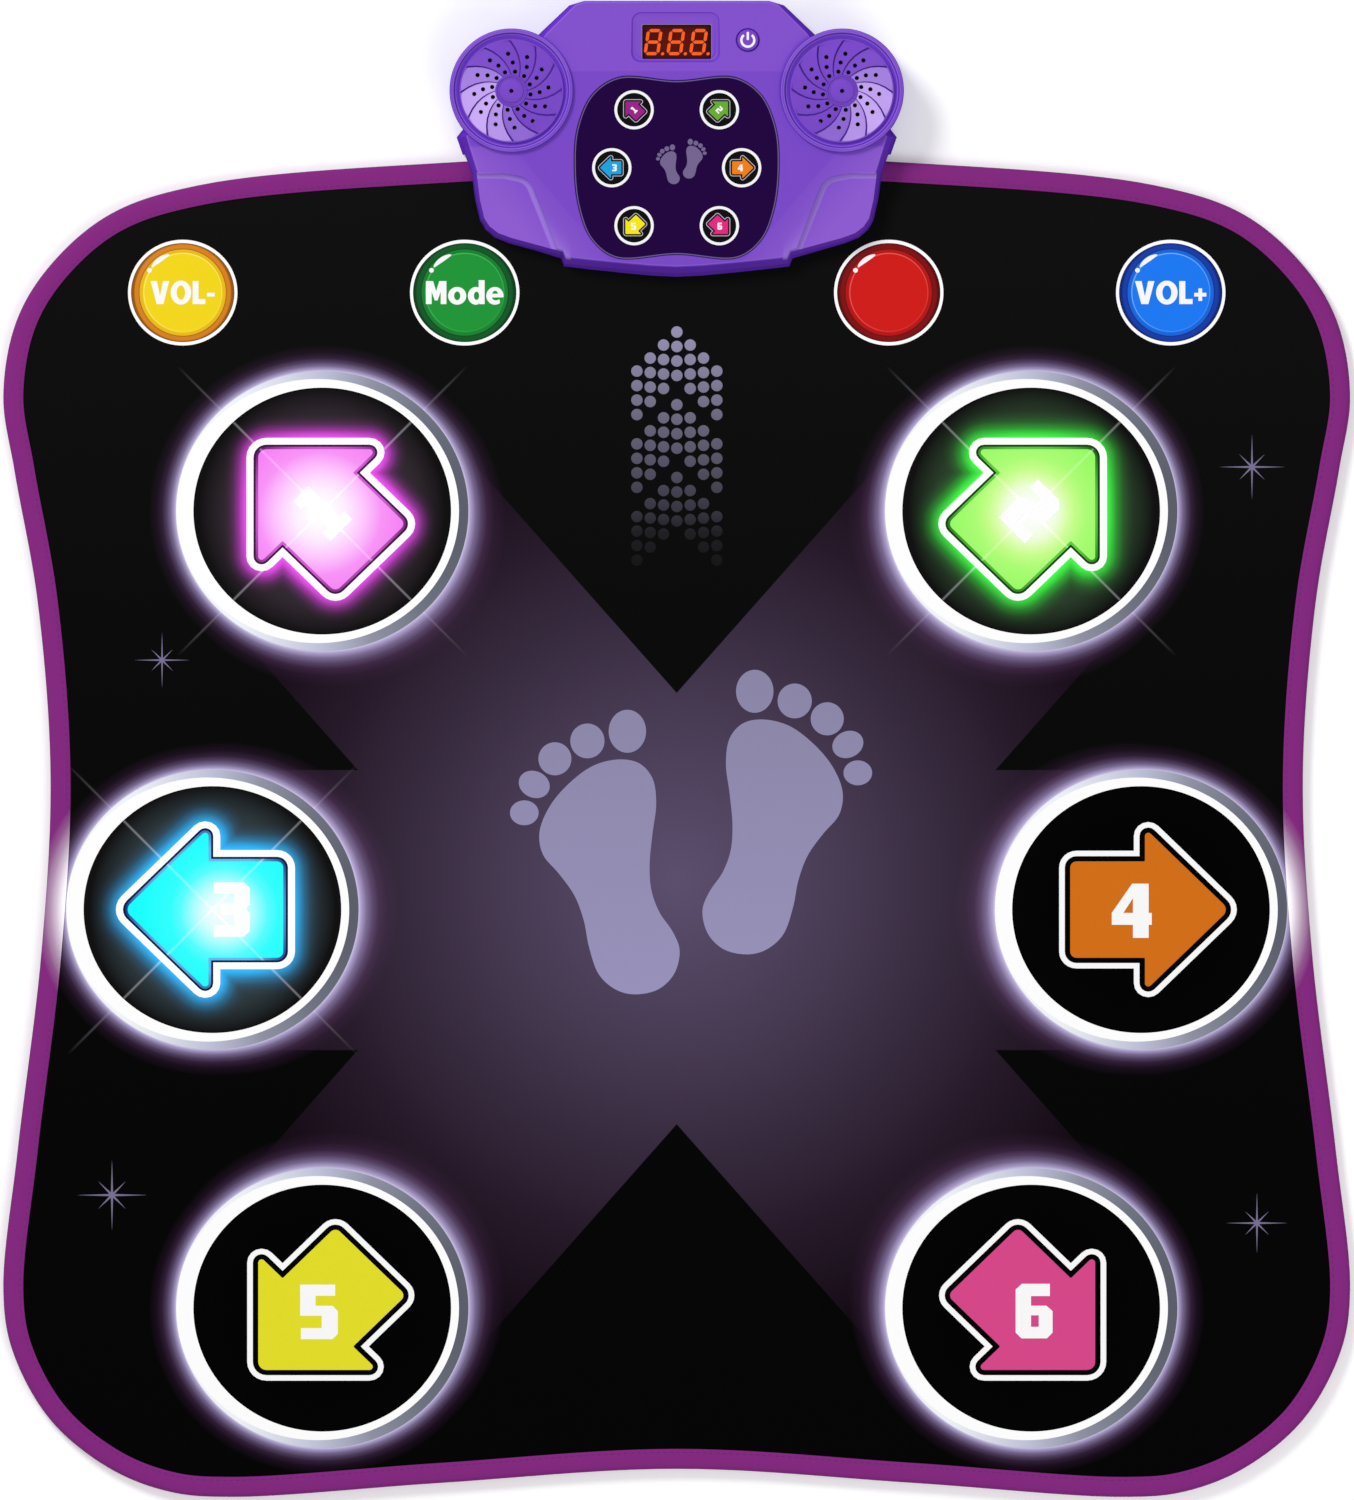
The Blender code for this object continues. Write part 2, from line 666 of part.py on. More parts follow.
def icon_places():
    """Face places of the six indicator windows, in the order of the numbers 1 to 6."""
    rows = zip(ICON_COLUMNS, ICON_ROWS)
    return [(side * x, y / math.cos(FACE_TILT)) for x, y in rows for side in (-1, 1)]


def panel_loop(margin):
    centre = PANEL_CENTRE
    half = [(x * PANEL_WIDTH / 2, centre + y * PANEL_HEIGHT / 2) for x, y in PANEL_HALF]
    loop = face_loop(smooth_loop(mirrored(half), 3))
    return inset(loop, -margin)


def post_places():
    return [(s * 0.061, v) for s in (-1, 1) for v in (0.026, 0.128)]


def upright_screws(places):
    return [(s * x, CONSOLE_FRONT + y) for x, y in places for s in (-1, 1)]


def build_top_shell():
    low = PARTING_HEIGHT + GAP / 2
    high = FACE_FRONT_HEIGHT + CONSOLE_DEPTH / 2
    outline = console_outline()
    shell = console_prism("console_top_shell", outline, low - WALL, high)
    trim_above_face(shell, 0)
    CUTTERS.objects.unlink(shell)
    PARTS.objects.link(shell)
    shell.hide_render = False
    shell.display_type = "TEXTURED"
    shell.data.materials.append(finish_material("shell_purple"))

    cavity = console_prism("top_cavity", inset(outline, WALL), low - WALL * 2, high)
    trim_above_face(cavity, -WALL)
    dish_ceiling = DISH_FLOOR - WALL
    for side, word in ((-1, "left"), (1, "right")):
        join(shell, pod_cylinder(f"pod_{word}", side, POD_RADIUS, low - WALL / 2, POD_RISE))
        cut(shell, corner_block(f"corner_{word}", side, 0, -CORNER_DROP))
        inner = pod_cylinder(f"pod_cavity_{word}", side, POD_RADIUS - WALL, low - WALL * 3, dish_ceiling)
        cut(cavity, corner_block(f"corner_wall_{word}", side, -WALL, -CORNER_DROP - WALL))
        join(cavity, inner)
    wide = CONSOLE_WIDTH
    cut(shell, cavity, box("below_parting", (-wide, CONSOLE_FRONT - wide, -wide), (wide, wide * 2, low)))

    for side, word in ((-1, "left"), (1, "right")):
        at = (side * POD_X, POD_DEPTH_AT / math.cos(FACE_TILT))
        dish = disc(f"dish_{word}", DISH_RADIUS, DISH_FLOOR, 0.01, LARGE_ROUND, None, at, FACE)
        opening = disc(f"speaker_opening_{word}", SPEAKER_OPENING, -0.01, 0.01, PAD_ROUND, None, at, FACE)
        cut(shell, dish, opening)

    recess = plate("panel_recess", [panel_loop(GAP)], -PANEL_THICKNESS - GAP, 0.01, None, FACE)
    cut(shell, recess)
    for number, at in enumerate(icon_places(), 1):
        cut(shell, disc(f"icon_window_{number}", WELL_RADIUS, -0.008, 0.005, ROUND, None, at, FACE))

    display = DISPLAY_AT / math.cos(FACE_TILT)
    wide, tall = WINDOW_WIDTH + BEZEL_BORDER * 2, WINDOW_HEIGHT + BEZEL_BORDER * 1.4
    bezel = plate(
        "bezel_recess",
        [rounded_rectangle(0, 0, wide, tall, BEZEL_BORDER)],
        -BEZEL_DEPTH,
        BEZEL_DEPTH,
        None,
        FACE @ Matrix.Translation((0, display, 0)),
    )
    for vertex in bezel.data.vertices:
        if vertex.co.z < 0:
            vertex.co.x *= (WINDOW_WIDTH + BEZEL_BORDER / 2) / wide
            vertex.co.y *= (WINDOW_HEIGHT + BEZEL_BORDER / 2) / tall
    window = plate(
        "window_opening",
        [rounded_rectangle(0, display, WINDOW_WIDTH, WINDOW_HEIGHT, 0.001, 2)],
        -0.01,
        0.01,
        None,
        FACE,
    )
    at = (BUTTON_X, BUTTON_AT / math.cos(FACE_TILT))
    button_hole = disc("button_hole", BUTTON_RADIUS + GAP, -0.01, 0.01, ROUND, None, at, FACE)
    cut(shell, bezel, window, button_hole)

    # Screw bosses reach from the roof down to the bottom shell's floor, and posts hold the board.
    for number, (x, y) in enumerate(upright_screws(CASE_SCREWS + MAT_SCREWS)):
        foot = (RAISED_FLOOR if y < MAT_REAR else CONSOLE_FLOOR + WALL) + GAP
        drop = CORNER_DROP if y < MAT_REAR else 0
        roof = (y - CONSOLE_FRONT) * math.tan(FACE_TILT) + FACE_FRONT_HEIGHT - drop
        boss = disc(f"boss_{number}", BOSS_RADIUS, foot, roof - WALL / 2, BORE_ROUND, None, (x, y))
        low, high = foot - GAP * 3, roof - WALL * 2
        bore = disc(f"boss_bore_{number}", SHANK_BORE, low, high, BORE_ROUND, None, (x, y))
        cut(join(shell, boss), bore)
    for number, (x, v) in enumerate(post_places()):
        at = (x, v)
        low, high = BOARD_TOP + GAP, -WALL / 2
        post = disc(f"board_post_{number}", POST_RADIUS, low, high, BORE_ROUND, None, at, FACE)
        low, high = BOARD_BOTTOM - 0.0008, BOARD_TOP + 0.001
        stake = disc(f"board_stake_{number}", STAKE_RADIUS, low, high, BORE_ROUND, None, at, FACE)
        join(shell, post, stake)


def bay_box():
    """Inside of the battery bay: half length, front, rear and ceiling."""
    half = CELL_LENGTH + CONTACT + CONTACT_DOME + GAP * 3
    rear_front = CELL_PITCH
    ceiling = CONSOLE_FLOOR + DOOR_THICKNESS + GAP * 2 + CELL_RADIUS * 2 + GAP * 2
    centre = CONSOLE_FRONT + BAY_AT
    return half, centre - rear_front, centre + rear_front, ceiling


def door_screw_place():
    _, _, rear, _ = bay_box()
    return 0.0, rear + BAY_WALL + BOSS_RADIUS - 0.0006


def build_bottom_shell():
    high = PARTING_HEIGHT - GAP / 2
    outline = console_outline()
    shell = console_prism("console_bottom_shell", outline, CONSOLE_FLOOR - WALL, high + WALL)
    CUTTERS.objects.unlink(shell)
    PARTS.objects.link(shell)
    shell.hide_render = False
    shell.display_type = "TEXTURED"
    shell.data.materials.append(finish_material("shell_purple"))

    step_front = MAT_REAR + GAP * 3
    step_rear = step_front + WALL
    wide = CONSOLE_WIDTH
    pocket = box("mat_pocket", (-wide, CONSOLE_FRONT - wide, -wide), (wide, step_front, MAT_SEAT))
    tape_relief = box(
        "tape_relief", (-wide, MAT_REAR - TAPE_WIDTH * 1.6, 0), (wide, step_front, MAT_TOP + GAP)
    )
    hollow_top = high + WALL * 3
    cavity = console_prism("bottom_cavity", inset(outline, WALL), CONSOLE_FLOOR + WALL, hollow_top)
    for side, word in ((-1, "left"), (1, "right")):
        outer = plate(
            f"bottom_pod_{word}",
            [ellipse(side * POD_X, CONSOLE_FRONT + POD_DEPTH_AT, POD_RADIUS, LARGE_ROUND)],
            CONSOLE_FLOOR - WALL / 2,
            high + WALL / 2,
        )
        inner = plate(
            f"bottom_pod_cavity_{word}",
            [ellipse(side * POD_X, CONSOLE_FRONT + POD_DEPTH_AT, POD_RADIUS - WALL, LARGE_ROUND)],
            CONSOLE_FLOOR + WALL * 1.2,
            hollow_top + WALL,
        )
        join(shell, outer)
        join(cavity, inner)
    raised = (wide, step_rear, RAISED_FLOOR)
    cut(cavity, box("raised_floor", (-wide, CONSOLE_FRONT - wide, -wide), raised))
    slab = box("bottom_slab", (-wide, CONSOLE_FRONT - wide, CONSOLE_FLOOR), (wide, wide * 2, high))
    cut(shell, pocket, tape_relief, cavity)
    boolean(shell, "INTERSECT", slab)

    half, front, rear, ceiling = bay_box()
    bay = box(
        "bay_walls",
        (-half - BAY_WALL, front - BAY_WALL, CONSOLE_FLOOR + WALL / 2),
        (half + BAY_WALL, rear + BAY_WALL, ceiling + BAY_WALL),
    )
    hollow = box("bay_hollow", (-half, front, -0.01), (half, rear, ceiling))
    screw_at = door_screw_place()
    lug_rear = screw_at[1] + DOOR_LUG_HALF
    boss_low = CONSOLE_FLOOR + DOOR_THICKNESS + GAP
    boss_high = boss_low + DOOR_BOSS_HEIGHT
    boss = disc("door_boss", BOSS_RADIUS, boss_low, boss_high, SMALL_ROUND, None, screw_at)
    lug = box(
        "door_lug_notch",
        (-DOOR_LUG_HALF, rear - BAY_WALL, -0.01),
        (DOOR_LUG_HALF, lug_rear, boss_low - GAP),
    )
    floor_notch = box(
        "door_lug_notch_top",
        (-DOOR_LUG_HALF, screw_at[1], -0.01),
        (DOOR_LUG_HALF, lug_rear, CONSOLE_FLOOR + WALL - GAP * 2),
    )
    swing = DOOR_SCREW_RADIUS + DOOR_SCREW_SWING
    boss_bore = disc("door_boss_bore", swing, 0, boss_high - 0.0014, SMALL_ROUND, None, screw_at)
    cut(join(shell, bay, boss), hollow, lug, floor_notch, boss_bore)
    for side in (-1, 1):
        slot = box(
            f"hook_slot_{side + 1}",
            (side * half / 2 - HOOK_SLOT_HALF, front - BAY_WALL * 2, CONSOLE_FLOOR + DOOR_THICKNESS),
            (side * half / 2 + HOOK_SLOT_HALF, front + BAY_WALL, CONSOLE_FLOOR + HOOK_SLOT_TOP),
        )
        cell_y = CONSOLE_FRONT + BAY_AT + side * CELL_PITCH / 2
        leg = box(
            f"contact_slot_{side + 1}",
            (half - CONTACT * 2 - GAP * 4, cell_y - CONTACT_SLOT_HALF, ceiling - WALL),
            (half + GAP, cell_y + CONTACT_SLOT_HALF, ceiling + WALL),
        )
        cut(shell, slot, leg)

    tail = box(
        "tail_slot",
        (-RIBBON_WIDTH / 2 - GAP * 3, step_front - WALL, FOAM_TOP),
        (RIBBON_WIDTH / 2 + GAP * 3, step_rear + WALL, LOWER_FILM_TOP + GAP),
    )
    cut(shell, tail)
    for number, (x, y) in enumerate(upright_screws(CASE_SCREWS + MAT_SCREWS)):
        hole = disc(f"shank_hole_{number}", SHANK_BORE, -0.01, 0.03, BORE_ROUND, None, (x, y))
        cut(shell, hole)
    for number, (x, y) in enumerate(upright_screws(CASE_SCREWS)):
        top = CONSOLE_FLOOR + SCREW_HEAD + SCREW_CLEARANCE * 2
        cut(shell, disc(f"head_recess_{number}", HEAD_BORE, -0.01, top, SMALL_ROUND, None, (x, y)))
    for number, (x, y) in enumerate(upright_screws((FOOT_AT,))):
        top = CONSOLE_FLOOR + FOOT_RECESS
        cut(shell, disc(f"foot_recess_{number}", FOOT_RADIUS + GAP, -0.01, top, SMALL_ROUND, None, (x, y)))
        word = ("left", "right")[number]
        disc(f"rubber_foot_{word}", FOOT_RADIUS, 0, top - GAP, SMALL_ROUND, "rubber_black", (x, y))


# ---- Console face parts --------------------------------------------------------------------
def build_face():
    plate("face_panel", [panel_loop(0)], -PANEL_THICKNESS, 0, "panel_dark", FACE)

    top = -WALL - GAP
    spread = WELL_RADIUS + WELL_WALL
    reach_x = max(ICON_COLUMNS) + spread
    low_v = min(ICON_ROWS) / math.cos(FACE_TILT) - spread
    high_v = max(ICON_ROWS) / math.cos(FACE_TILT) + spread
    tall = high_v - low_v
    plate_loop = rounded_rectangle(0, (low_v + high_v) / 2, reach_x * 2, tall, spread)
    baffle = plate("light_baffle", [plate_loop], top - 0.0015, top, "reflector_white", FACE)
    for number, at in enumerate(icon_places(), 1):
        tube = disc(f"well_{number}", spread, BOARD_TOP + GAP, top - 0.0005, ROUND, None, at, FACE)
        join(baffle, tube)
    for number, at in enumerate(icon_places(), 1):
        cut(baffle, disc(f"well_bore_{number}", WELL_RADIUS, -0.02, 0.01, ROUND, None, at, FACE))

    display = DISPLAY_AT / math.cos(FACE_TILT)
    rim = 0.0034
    lens = rounded_rectangle(0, display, WINDOW_WIDTH + rim * 2, WINDOW_HEIGHT + rim * 2, 0.002, 2)
    lens_low = top - LENS_THICKNESS
    plate("display_window", [lens], lens_low, top, "lens_red", FACE)
    module = (WINDOW_WIDTH / 2 + 0.0015, WINDOW_HEIGHT / 2 + 0.0012)
    box(
        "display_module",
        (-module[0], display - module[1], BOARD_TOP + GAP),
        (module[0], display + module[1], lens_low - GAP),
        "display_black",
        FACE,
    )

    at = (BUTTON_X, BUTTON_AT / math.cos(FACE_TILT))
    flange_top = -WALL - GAP
    stem_end = BOARD_TOP + GAP + BUTTON_TRAVEL + GAP * 2
    profile = (
        (0, 0.0006), (BUTTON_RADIUS - 0.0006, 0.0006), (BUTTON_RADIUS, 0), (BUTTON_RADIUS, flange_top),
        (BUTTON_RADIUS + 0.0015, flange_top), (BUTTON_RADIUS + 0.0015, flange_top - 0.0008),
        (STEM_RADIUS, flange_top - 0.0008), (STEM_RADIUS, stem_end), (0, stem_end),
    )
    turned("power_button", profile, ROUND, "shell_purple", FACE @ Matrix.Translation((*at, 0)))
    half = SWITCH_SIDE / 2
    switch = box(
        "power_switch",
        (at[0] - half, at[1] - half, BOARD_TOP + GAP),
        (at[0] + half, at[1] + half, BOARD_TOP + GAP + SWITCH_HEIGHT),
        "display_black",
        FACE,
    )
    bore = disc(
        "switch_bore", STEM_RADIUS + GAP, BOARD_TOP + GAP * 2, 0, SMALL_ROUND, None, at, FACE
    )
    cut(switch, bore)


def build_main_board():
    """The circuit board, with its lamps, chips, radio daughter board and mat connector soldered on."""
    wide, narrow = BOARD_HALF_WIDTH, BOARD_NECK_HALF
    low_v, neck_v, high_v = BOARD_FRONT, BOARD_NECK, BOARD_REAR
    edge = (
        (-wide, low_v), (wide, low_v), (wide, neck_v), (narrow, neck_v + 0.006), (narrow, high_v),
        (-narrow, high_v), (-narrow, neck_v + 0.006), (-wide, neck_v),
    )
    holes = [ellipse(x, v, STAKE_HOLE, BORE_ROUND) for x, v in post_places()]
    board = plate("main_board", [list(edge), *holes], BOARD_BOTTOM, BOARD_TOP, "board_green", FACE)
    for number, (x, v) in enumerate(icon_places(), 1):
        low = (x - LAMP_HALF, v - LAMP_HALF, BOARD_TOP - SOLDERED)
        high = (x + LAMP_HALF, v + LAMP_HALF, BOARD_TOP + LAMP_HEIGHT)
        join(board, box(f"indicator_lamp_{number}", low, high, None, FACE))
    bodies = (
        ("sound_chip", -0.008, 0.012, 0.060, 0.074, 0.0020),
        ("radio_module", -0.009, 0.007, 0.094, 0.116, 0.0024),
        ("amplifier_chip", -0.006, 0.006, 0.079, 0.089, 0.0018),
    )
    for name, x0, x1, v0, v1, tall in bodies:
        low, high = (x0, v0, BOARD_TOP - SOLDERED), (x1, v1, BOARD_TOP + tall)
        join(board, box(name, low, high, None, FACE))
    v = RIBBON_AT / math.cos(FACE_TILT)
    half = RIBBON_WIDTH / 2 + 0.0015
    low = (-half, v - PLUG_HALF, BOARD_BOTTOM - PLUG_HEIGHT)
    high = (half, v + PLUG_HALF, BOARD_BOTTOM + SOLDERED)
    join(board, box("tail_connector", low, high, None, FACE))


def build_speakers():
    ceiling = DISH_FLOOR - WALL
    top = ceiling - GAP
    pole, magnet_low = -0.0120, -0.0190
    basket = SPEAKER_RADIUS - 0.0045
    frame = (
        (0, pole), (0.0062, pole), (0.0062, -0.0165), (0.0080, -0.0165), (0.0080, pole),
        (0.0145, pole), (basket - 0.0015, -0.0075), (basket, -0.0054), (basket, top),
        (SPEAKER_RADIUS, top), (SPEAKER_RADIUS, top - 0.001), (basket + 0.001, top - 0.001),
        (basket + 0.001, -0.0060), (basket - 0.0008, -0.0084), (MAGNET_RADIUS, -0.0126),
        (MAGNET_RADIUS, magnet_low), (0, magnet_low),
    )
    rim = basket - 0.0006
    cone = (
        (0, -0.0056), (0.0055, -0.0066), (0.0072, -0.0084), (rim - 0.0012, -0.0036), (rim, -0.0036),
        (rim, -0.0042), (rim - 0.0010, -0.0042), (0.0074, -0.0092), (0.0074, -0.0148),
        (0.0068, -0.0148), (0.0068, -0.0090), (0.0052, -0.0072), (0, -0.0062),
    )
    for side, word in ((-1, "left"), (1, "right")):
        at = (side * POD_X, POD_DEPTH_AT / math.cos(FACE_TILT))
        centre = FACE @ Matrix.Translation((*at, 0))
        turned(f"speaker_frame_{word}", frame, ROUND, "steel", centre)
        turned(f"speaker_cone_{word}", cone, ROUND, "paper_black", centre)
        grille(f"speaker_grille_{word}", side, centre)
        board_edge = BOARD_HALF_WIDTH + GAP * 2
        route = (
            (side * (POD_X - MAGNET_RADIUS - 0.0013), 0.126, -0.0165), (side * 0.090, 0.121, -0.0175),
            (side * 0.080, 0.112, -0.0155), (side * 0.072, 0.105, -0.0125),
            (side * board_edge, 0.101, (BOARD_TOP + BOARD_BOTTOM) / 2),
        )
        wire(f"speaker_lead_{word}", [on_face(*point) for point in route], 0.0009, "wire_red")


def grille_holes(side):
    """Three holes along each of the twelve swept vanes, and one in the hub."""
    holes = [(0.0, 0.0)]
    for vane in range(VANES):
        for ring in range(3):
            radius = FIRST_HOLE_RADIUS + HOLE_PITCH * ring
            turn = VANE_START + 2 * math.pi * vane / VANES - VANE_SWEEP * ring
            holes.append((side * radius * math.cos(turn), radius * math.sin(turn)))
    return holes


def grille(name, side, centre):
    low = DISH_FLOOR + GAP
    high = low + GRILLE_THICKNESS
    holes = [ellipse(x, y, HOLE_RADIUS, 6) for x, y in grille_holes(side)]
    rim = ellipse(0, 0, GRILLE_RADIUS, LARGE_ROUND)
    cover = plate(name, [rim, *holes], low, high, "shell_purple", centre)
    hub = [ellipse(0, 0, radius, ROUND) for radius in (HUB_RADIUS, HUB_RADIUS - HUB_WIDTH)]
    hub_ring = plate(name + "_hub", hub, high - HUB_HEIGHT, high + HUB_HEIGHT * 1.5, None, centre)
    join(cover, hub_ring)


# ---- Batteries -----------------------------------------------------------------------------
def build_batteries():
    half, front, rear, ceiling = bay_box()
    centre_z = CONSOLE_FLOOR + DOOR_THICKNESS + GAP * 2 + CELL_RADIUS
    body = CELL_LENGTH - CELL_NUB
    profile = (
        (0, CELL_LENGTH), (0.0026, CELL_LENGTH), (0.0026, body), (CELL_RADIUS - 0.0004, body),
        (CELL_RADIUS, body - 0.0004), (CELL_RADIUS, 0.0004), (CELL_RADIUS - 0.0004, 0), (0, 0),
    )
    number = 0
    for row, heading in ((-1, 1), (1, -1)):
        y = CONSOLE_FRONT + BAY_AT + row * CELL_PITCH / 2
        turn = Matrix.Rotation(heading * math.pi / 2, 4, "Y")
        for place in (0, 1):
            number += 1
            start = -CELL_LENGTH - GAP / 2 + place * (CELL_LENGTH + GAP)
            at = Matrix.Translation((heading * start, y, centre_z)) @ turn
            turned(f"battery_{number}", profile, SMALL_ROUND, "cell_jacket", at)

    low, high = centre_z - CONTACT_HALF, centre_z + CONTACT_HALF
    y0, y1 = CONSOLE_FRONT + BAY_AT - CELL_PITCH / 2, CONSOLE_FRONT + BAY_AT + CELL_PITCH / 2
    wall = half - GAP
    link_low, link_high = (-wall, y0 - CONTACT_HALF, low), (-wall + CONTACT, y1 + CONTACT_HALF, high)
    link = box("contact_link", link_low, link_high, "steel")
    for number, y in enumerate((y0, y1)):
        dome = turned(
            f"link_dome_{number}",
            ((0, CONTACT_DOME), (0.0014, CONTACT_DOME), (0.0026, -CONTACT / 2), (0, -CONTACT / 2)),
            BORE_ROUND,
            None,
            Matrix.Translation((-wall + CONTACT, y, centre_z)) @ Matrix.Rotation(math.pi / 2, 4, "Y"),
        )
        join(link, dome)
    for word, y in (("positive", y0), ("negative", y1)):
        top = ceiling + BAY_WALL + 0.0018
        plate_low, plate_high = (wall - CONTACT, y - CONTACT_HALF, low), (wall, y + CONTACT_HALF, high)
        contact = box(f"contact_{word}", plate_low, plate_high, "steel")
        leg_low = (wall - CONTACT, y - CONTACT_LEG_HALF, high - 0.001)
        leg = box(f"contact_leg_{word}", leg_low, (wall, y + CONTACT_LEG_HALF, top))
        dome = turned(
            f"contact_dome_{word}",
            ((0, CONTACT_DOME), (0.0014, CONTACT_DOME), (0.0026, -CONTACT / 2), (0, -CONTACT / 2)),
            BORE_ROUND,
            None,
            Matrix.Translation((wall - CONTACT, y, centre_z)) @ Matrix.Rotation(-math.pi / 2, 4, "Y"),
        )
        join(contact, leg, dome)


def build_battery_door():
    half, front, rear, _ = bay_box()
    screw_at = door_screw_place()
    low, high = CONSOLE_FLOOR, CONSOLE_FLOOR + DOOR_THICKNESS
    slack = DOOR_CLEARANCE
    edge = front + slack
    door = box("battery_door", (-half + slack, edge, low), (half - slack, rear - slack, high), "shell_purple")
    lug_half = DOOR_LUG_HALF - slack
    lug = box(
        "door_lug", (-lug_half, rear - 0.002, low), (lug_half, screw_at[1] + lug_half, high - GAP)
    )
    join(door, lug)
    hook_top = high + HOOK_RISE
    for side in (-1, 1):
        x0, x1 = side * half / 2 - HOOK_HALF, side * half / 2 + HOOK_HALF
        rise = box(
            f"hook_rise_{side + 1}", (x0, edge, high - 0.0005), (x1, edge + HOOK_THICKNESS, hook_top)
        )
        reach = box(
            f"hook_reach_{side + 1}",
            (x0, front - BAY_WALL, high + HOOK_UNDERSIDE),
            (x1, edge + HOOK_THICKNESS - 0.0004, hook_top),
        )
        join(door, rise, reach)
    for k in range(DOOR_GRIPS):
        x = (k - (DOOR_GRIPS - 1) / 2) * GRIP_PITCH
        groove = box(
            f"door_grip_{k}",
            (x - GRIP_HALF, rear - 0.010, low - 0.001),
            (x + GRIP_HALF, rear - 0.004, low + GRIP_DEPTH),
        )
        cut(door, groove)
    pivot_at(door, (0, edge, low))
    recess = disc("door_head_recess", HEAD_BORE, 0, low + 0.0009, SMALL_ROUND, None, screw_at)
    shank = DOOR_SCREW_RADIUS + SCREW_CLEARANCE
    bore = disc("door_screw_bore", shank, 0, 0.01, SMALL_ROUND, None, screw_at)
    cut(door, recess, bore)
    head_low = low + 0.0001
    screw("battery_door_screw", *screw_at, head_low, DOOR_SCREW_HEAD, DOOR_SCREW_LENGTH, DOOR_SCREW_RADIUS)


def screw(name, x, y, low, head, length, radius=SCREW_RADIUS):
    """A pan-head screw pointing up, with a cross recess in its head below."""
    profile = (
        (0, low + head + length), (radius * 0.5, low + head + length), (radius, low + head + length - radius),
        (radius, low + head), (SCREW_HEAD_RADIUS, low + head), (SCREW_HEAD_RADIUS, low + head * 0.3),
        (SCREW_HEAD_RADIUS * 0.8, low), (0, low),
    )
    made = turned(name, profile, BORE_ROUND, "steel", Matrix.Translation((x, y, 0)))
    for k, (a, b) in enumerate(((CROSS_LONG, CROSS_SHORT), (CROSS_SHORT, CROSS_LONG))):
        cut(made, box(f"{name}_cross_{k}", (x - a, y - b, low - 0.001), (x + a, y + b, low + head * 0.6)))


def build_screws():
    for number, (x, y) in enumerate(upright_screws(CASE_SCREWS), 1):
        screw(f"case_screw_{number}", x, y, CONSOLE_FLOOR + SCREW_CLEARANCE, SCREW_HEAD, SCREW_LENGTH)
    for number, (x, y) in enumerate(mat_screw_places(), 1):
        screw(f"mat_screw_{number}", x, y, 0, TAPE, SCREW_LENGTH)


def tail_start():
    """Where the film's tab ends and the ribbon begins, inside the console."""
    return MAT_REAR + GAP * 3 + WALL + 0.002


def build_ribbon():
    """The flat tail from the contact film's tab up to the board's connector."""
    y0, z0 = tail_start() + GAP, (FOAM_TOP + GAP + LOWER_FILM_TOP) / 2
    end = on_face(0, RIBBON_AT, BOARD_BOTTOM - 0.003 - GAP * 2)
    bend = 0.010
    line = [(y0, z0), (end.y - bend, z0)]
    for k in range(1, 7):
        turn = math.pi / 2 * k / 6
        line.append((end.y - bend + bend * math.sin(turn), z0 + bend - bend * math.cos(turn)))
    line.append((end.y, end.z))
    half = RIBBON_THICKNESS / 2
    sides = {1: [], -1: []}
    for k, here in enumerate(line):
        before, after = line[max(k - 1, 0)], line[min(k + 1, len(line) - 1)]
        along = Vector((after[0] - before[0], after[1] - before[1])).normalized()
        for side, points in sides.items():
            points.append((here[0] - side * along.y * half, here[1] + side * along.x * half))
    loop = sides[1] + sides[-1][::-1]
    # The profile is drawn in its own XY plane, then stood up so that it runs along world X.
    upright = Matrix(((0, 0, 1, 0), (1, 0, 0, 0), (0, 1, 0, 0), (0, 0, 0, 1)))
    plate("ribbon_tail", [loop], -RIBBON_WIDTH / 2, RIBBON_WIDTH / 2, "film_clear", upright)


clear_scene()
PARTS = new_collection("dance rhythm machine")
CUTTERS = new_collection("cutters")
build_mat()
build_pads()
build_light_boards()
build_top_shell()
build_bottom_shell()
build_face()
build_main_board()
build_speakers()
build_batteries()
build_battery_door()
build_screws()
build_ribbon()
bpy.context.view_layer.update()
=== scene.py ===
"""Looks of the dance rhythm machine: a printed mat, lit step pads and a purple console.

Metres, +Z up, in the frame's own coordinates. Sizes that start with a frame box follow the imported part.
"""

import json
import math

import bmesh
import bpy
import numpy as np
from bpy.props import FloatProperty, FloatVectorProperty, PointerProperty
from mathutils import Matrix, Vector

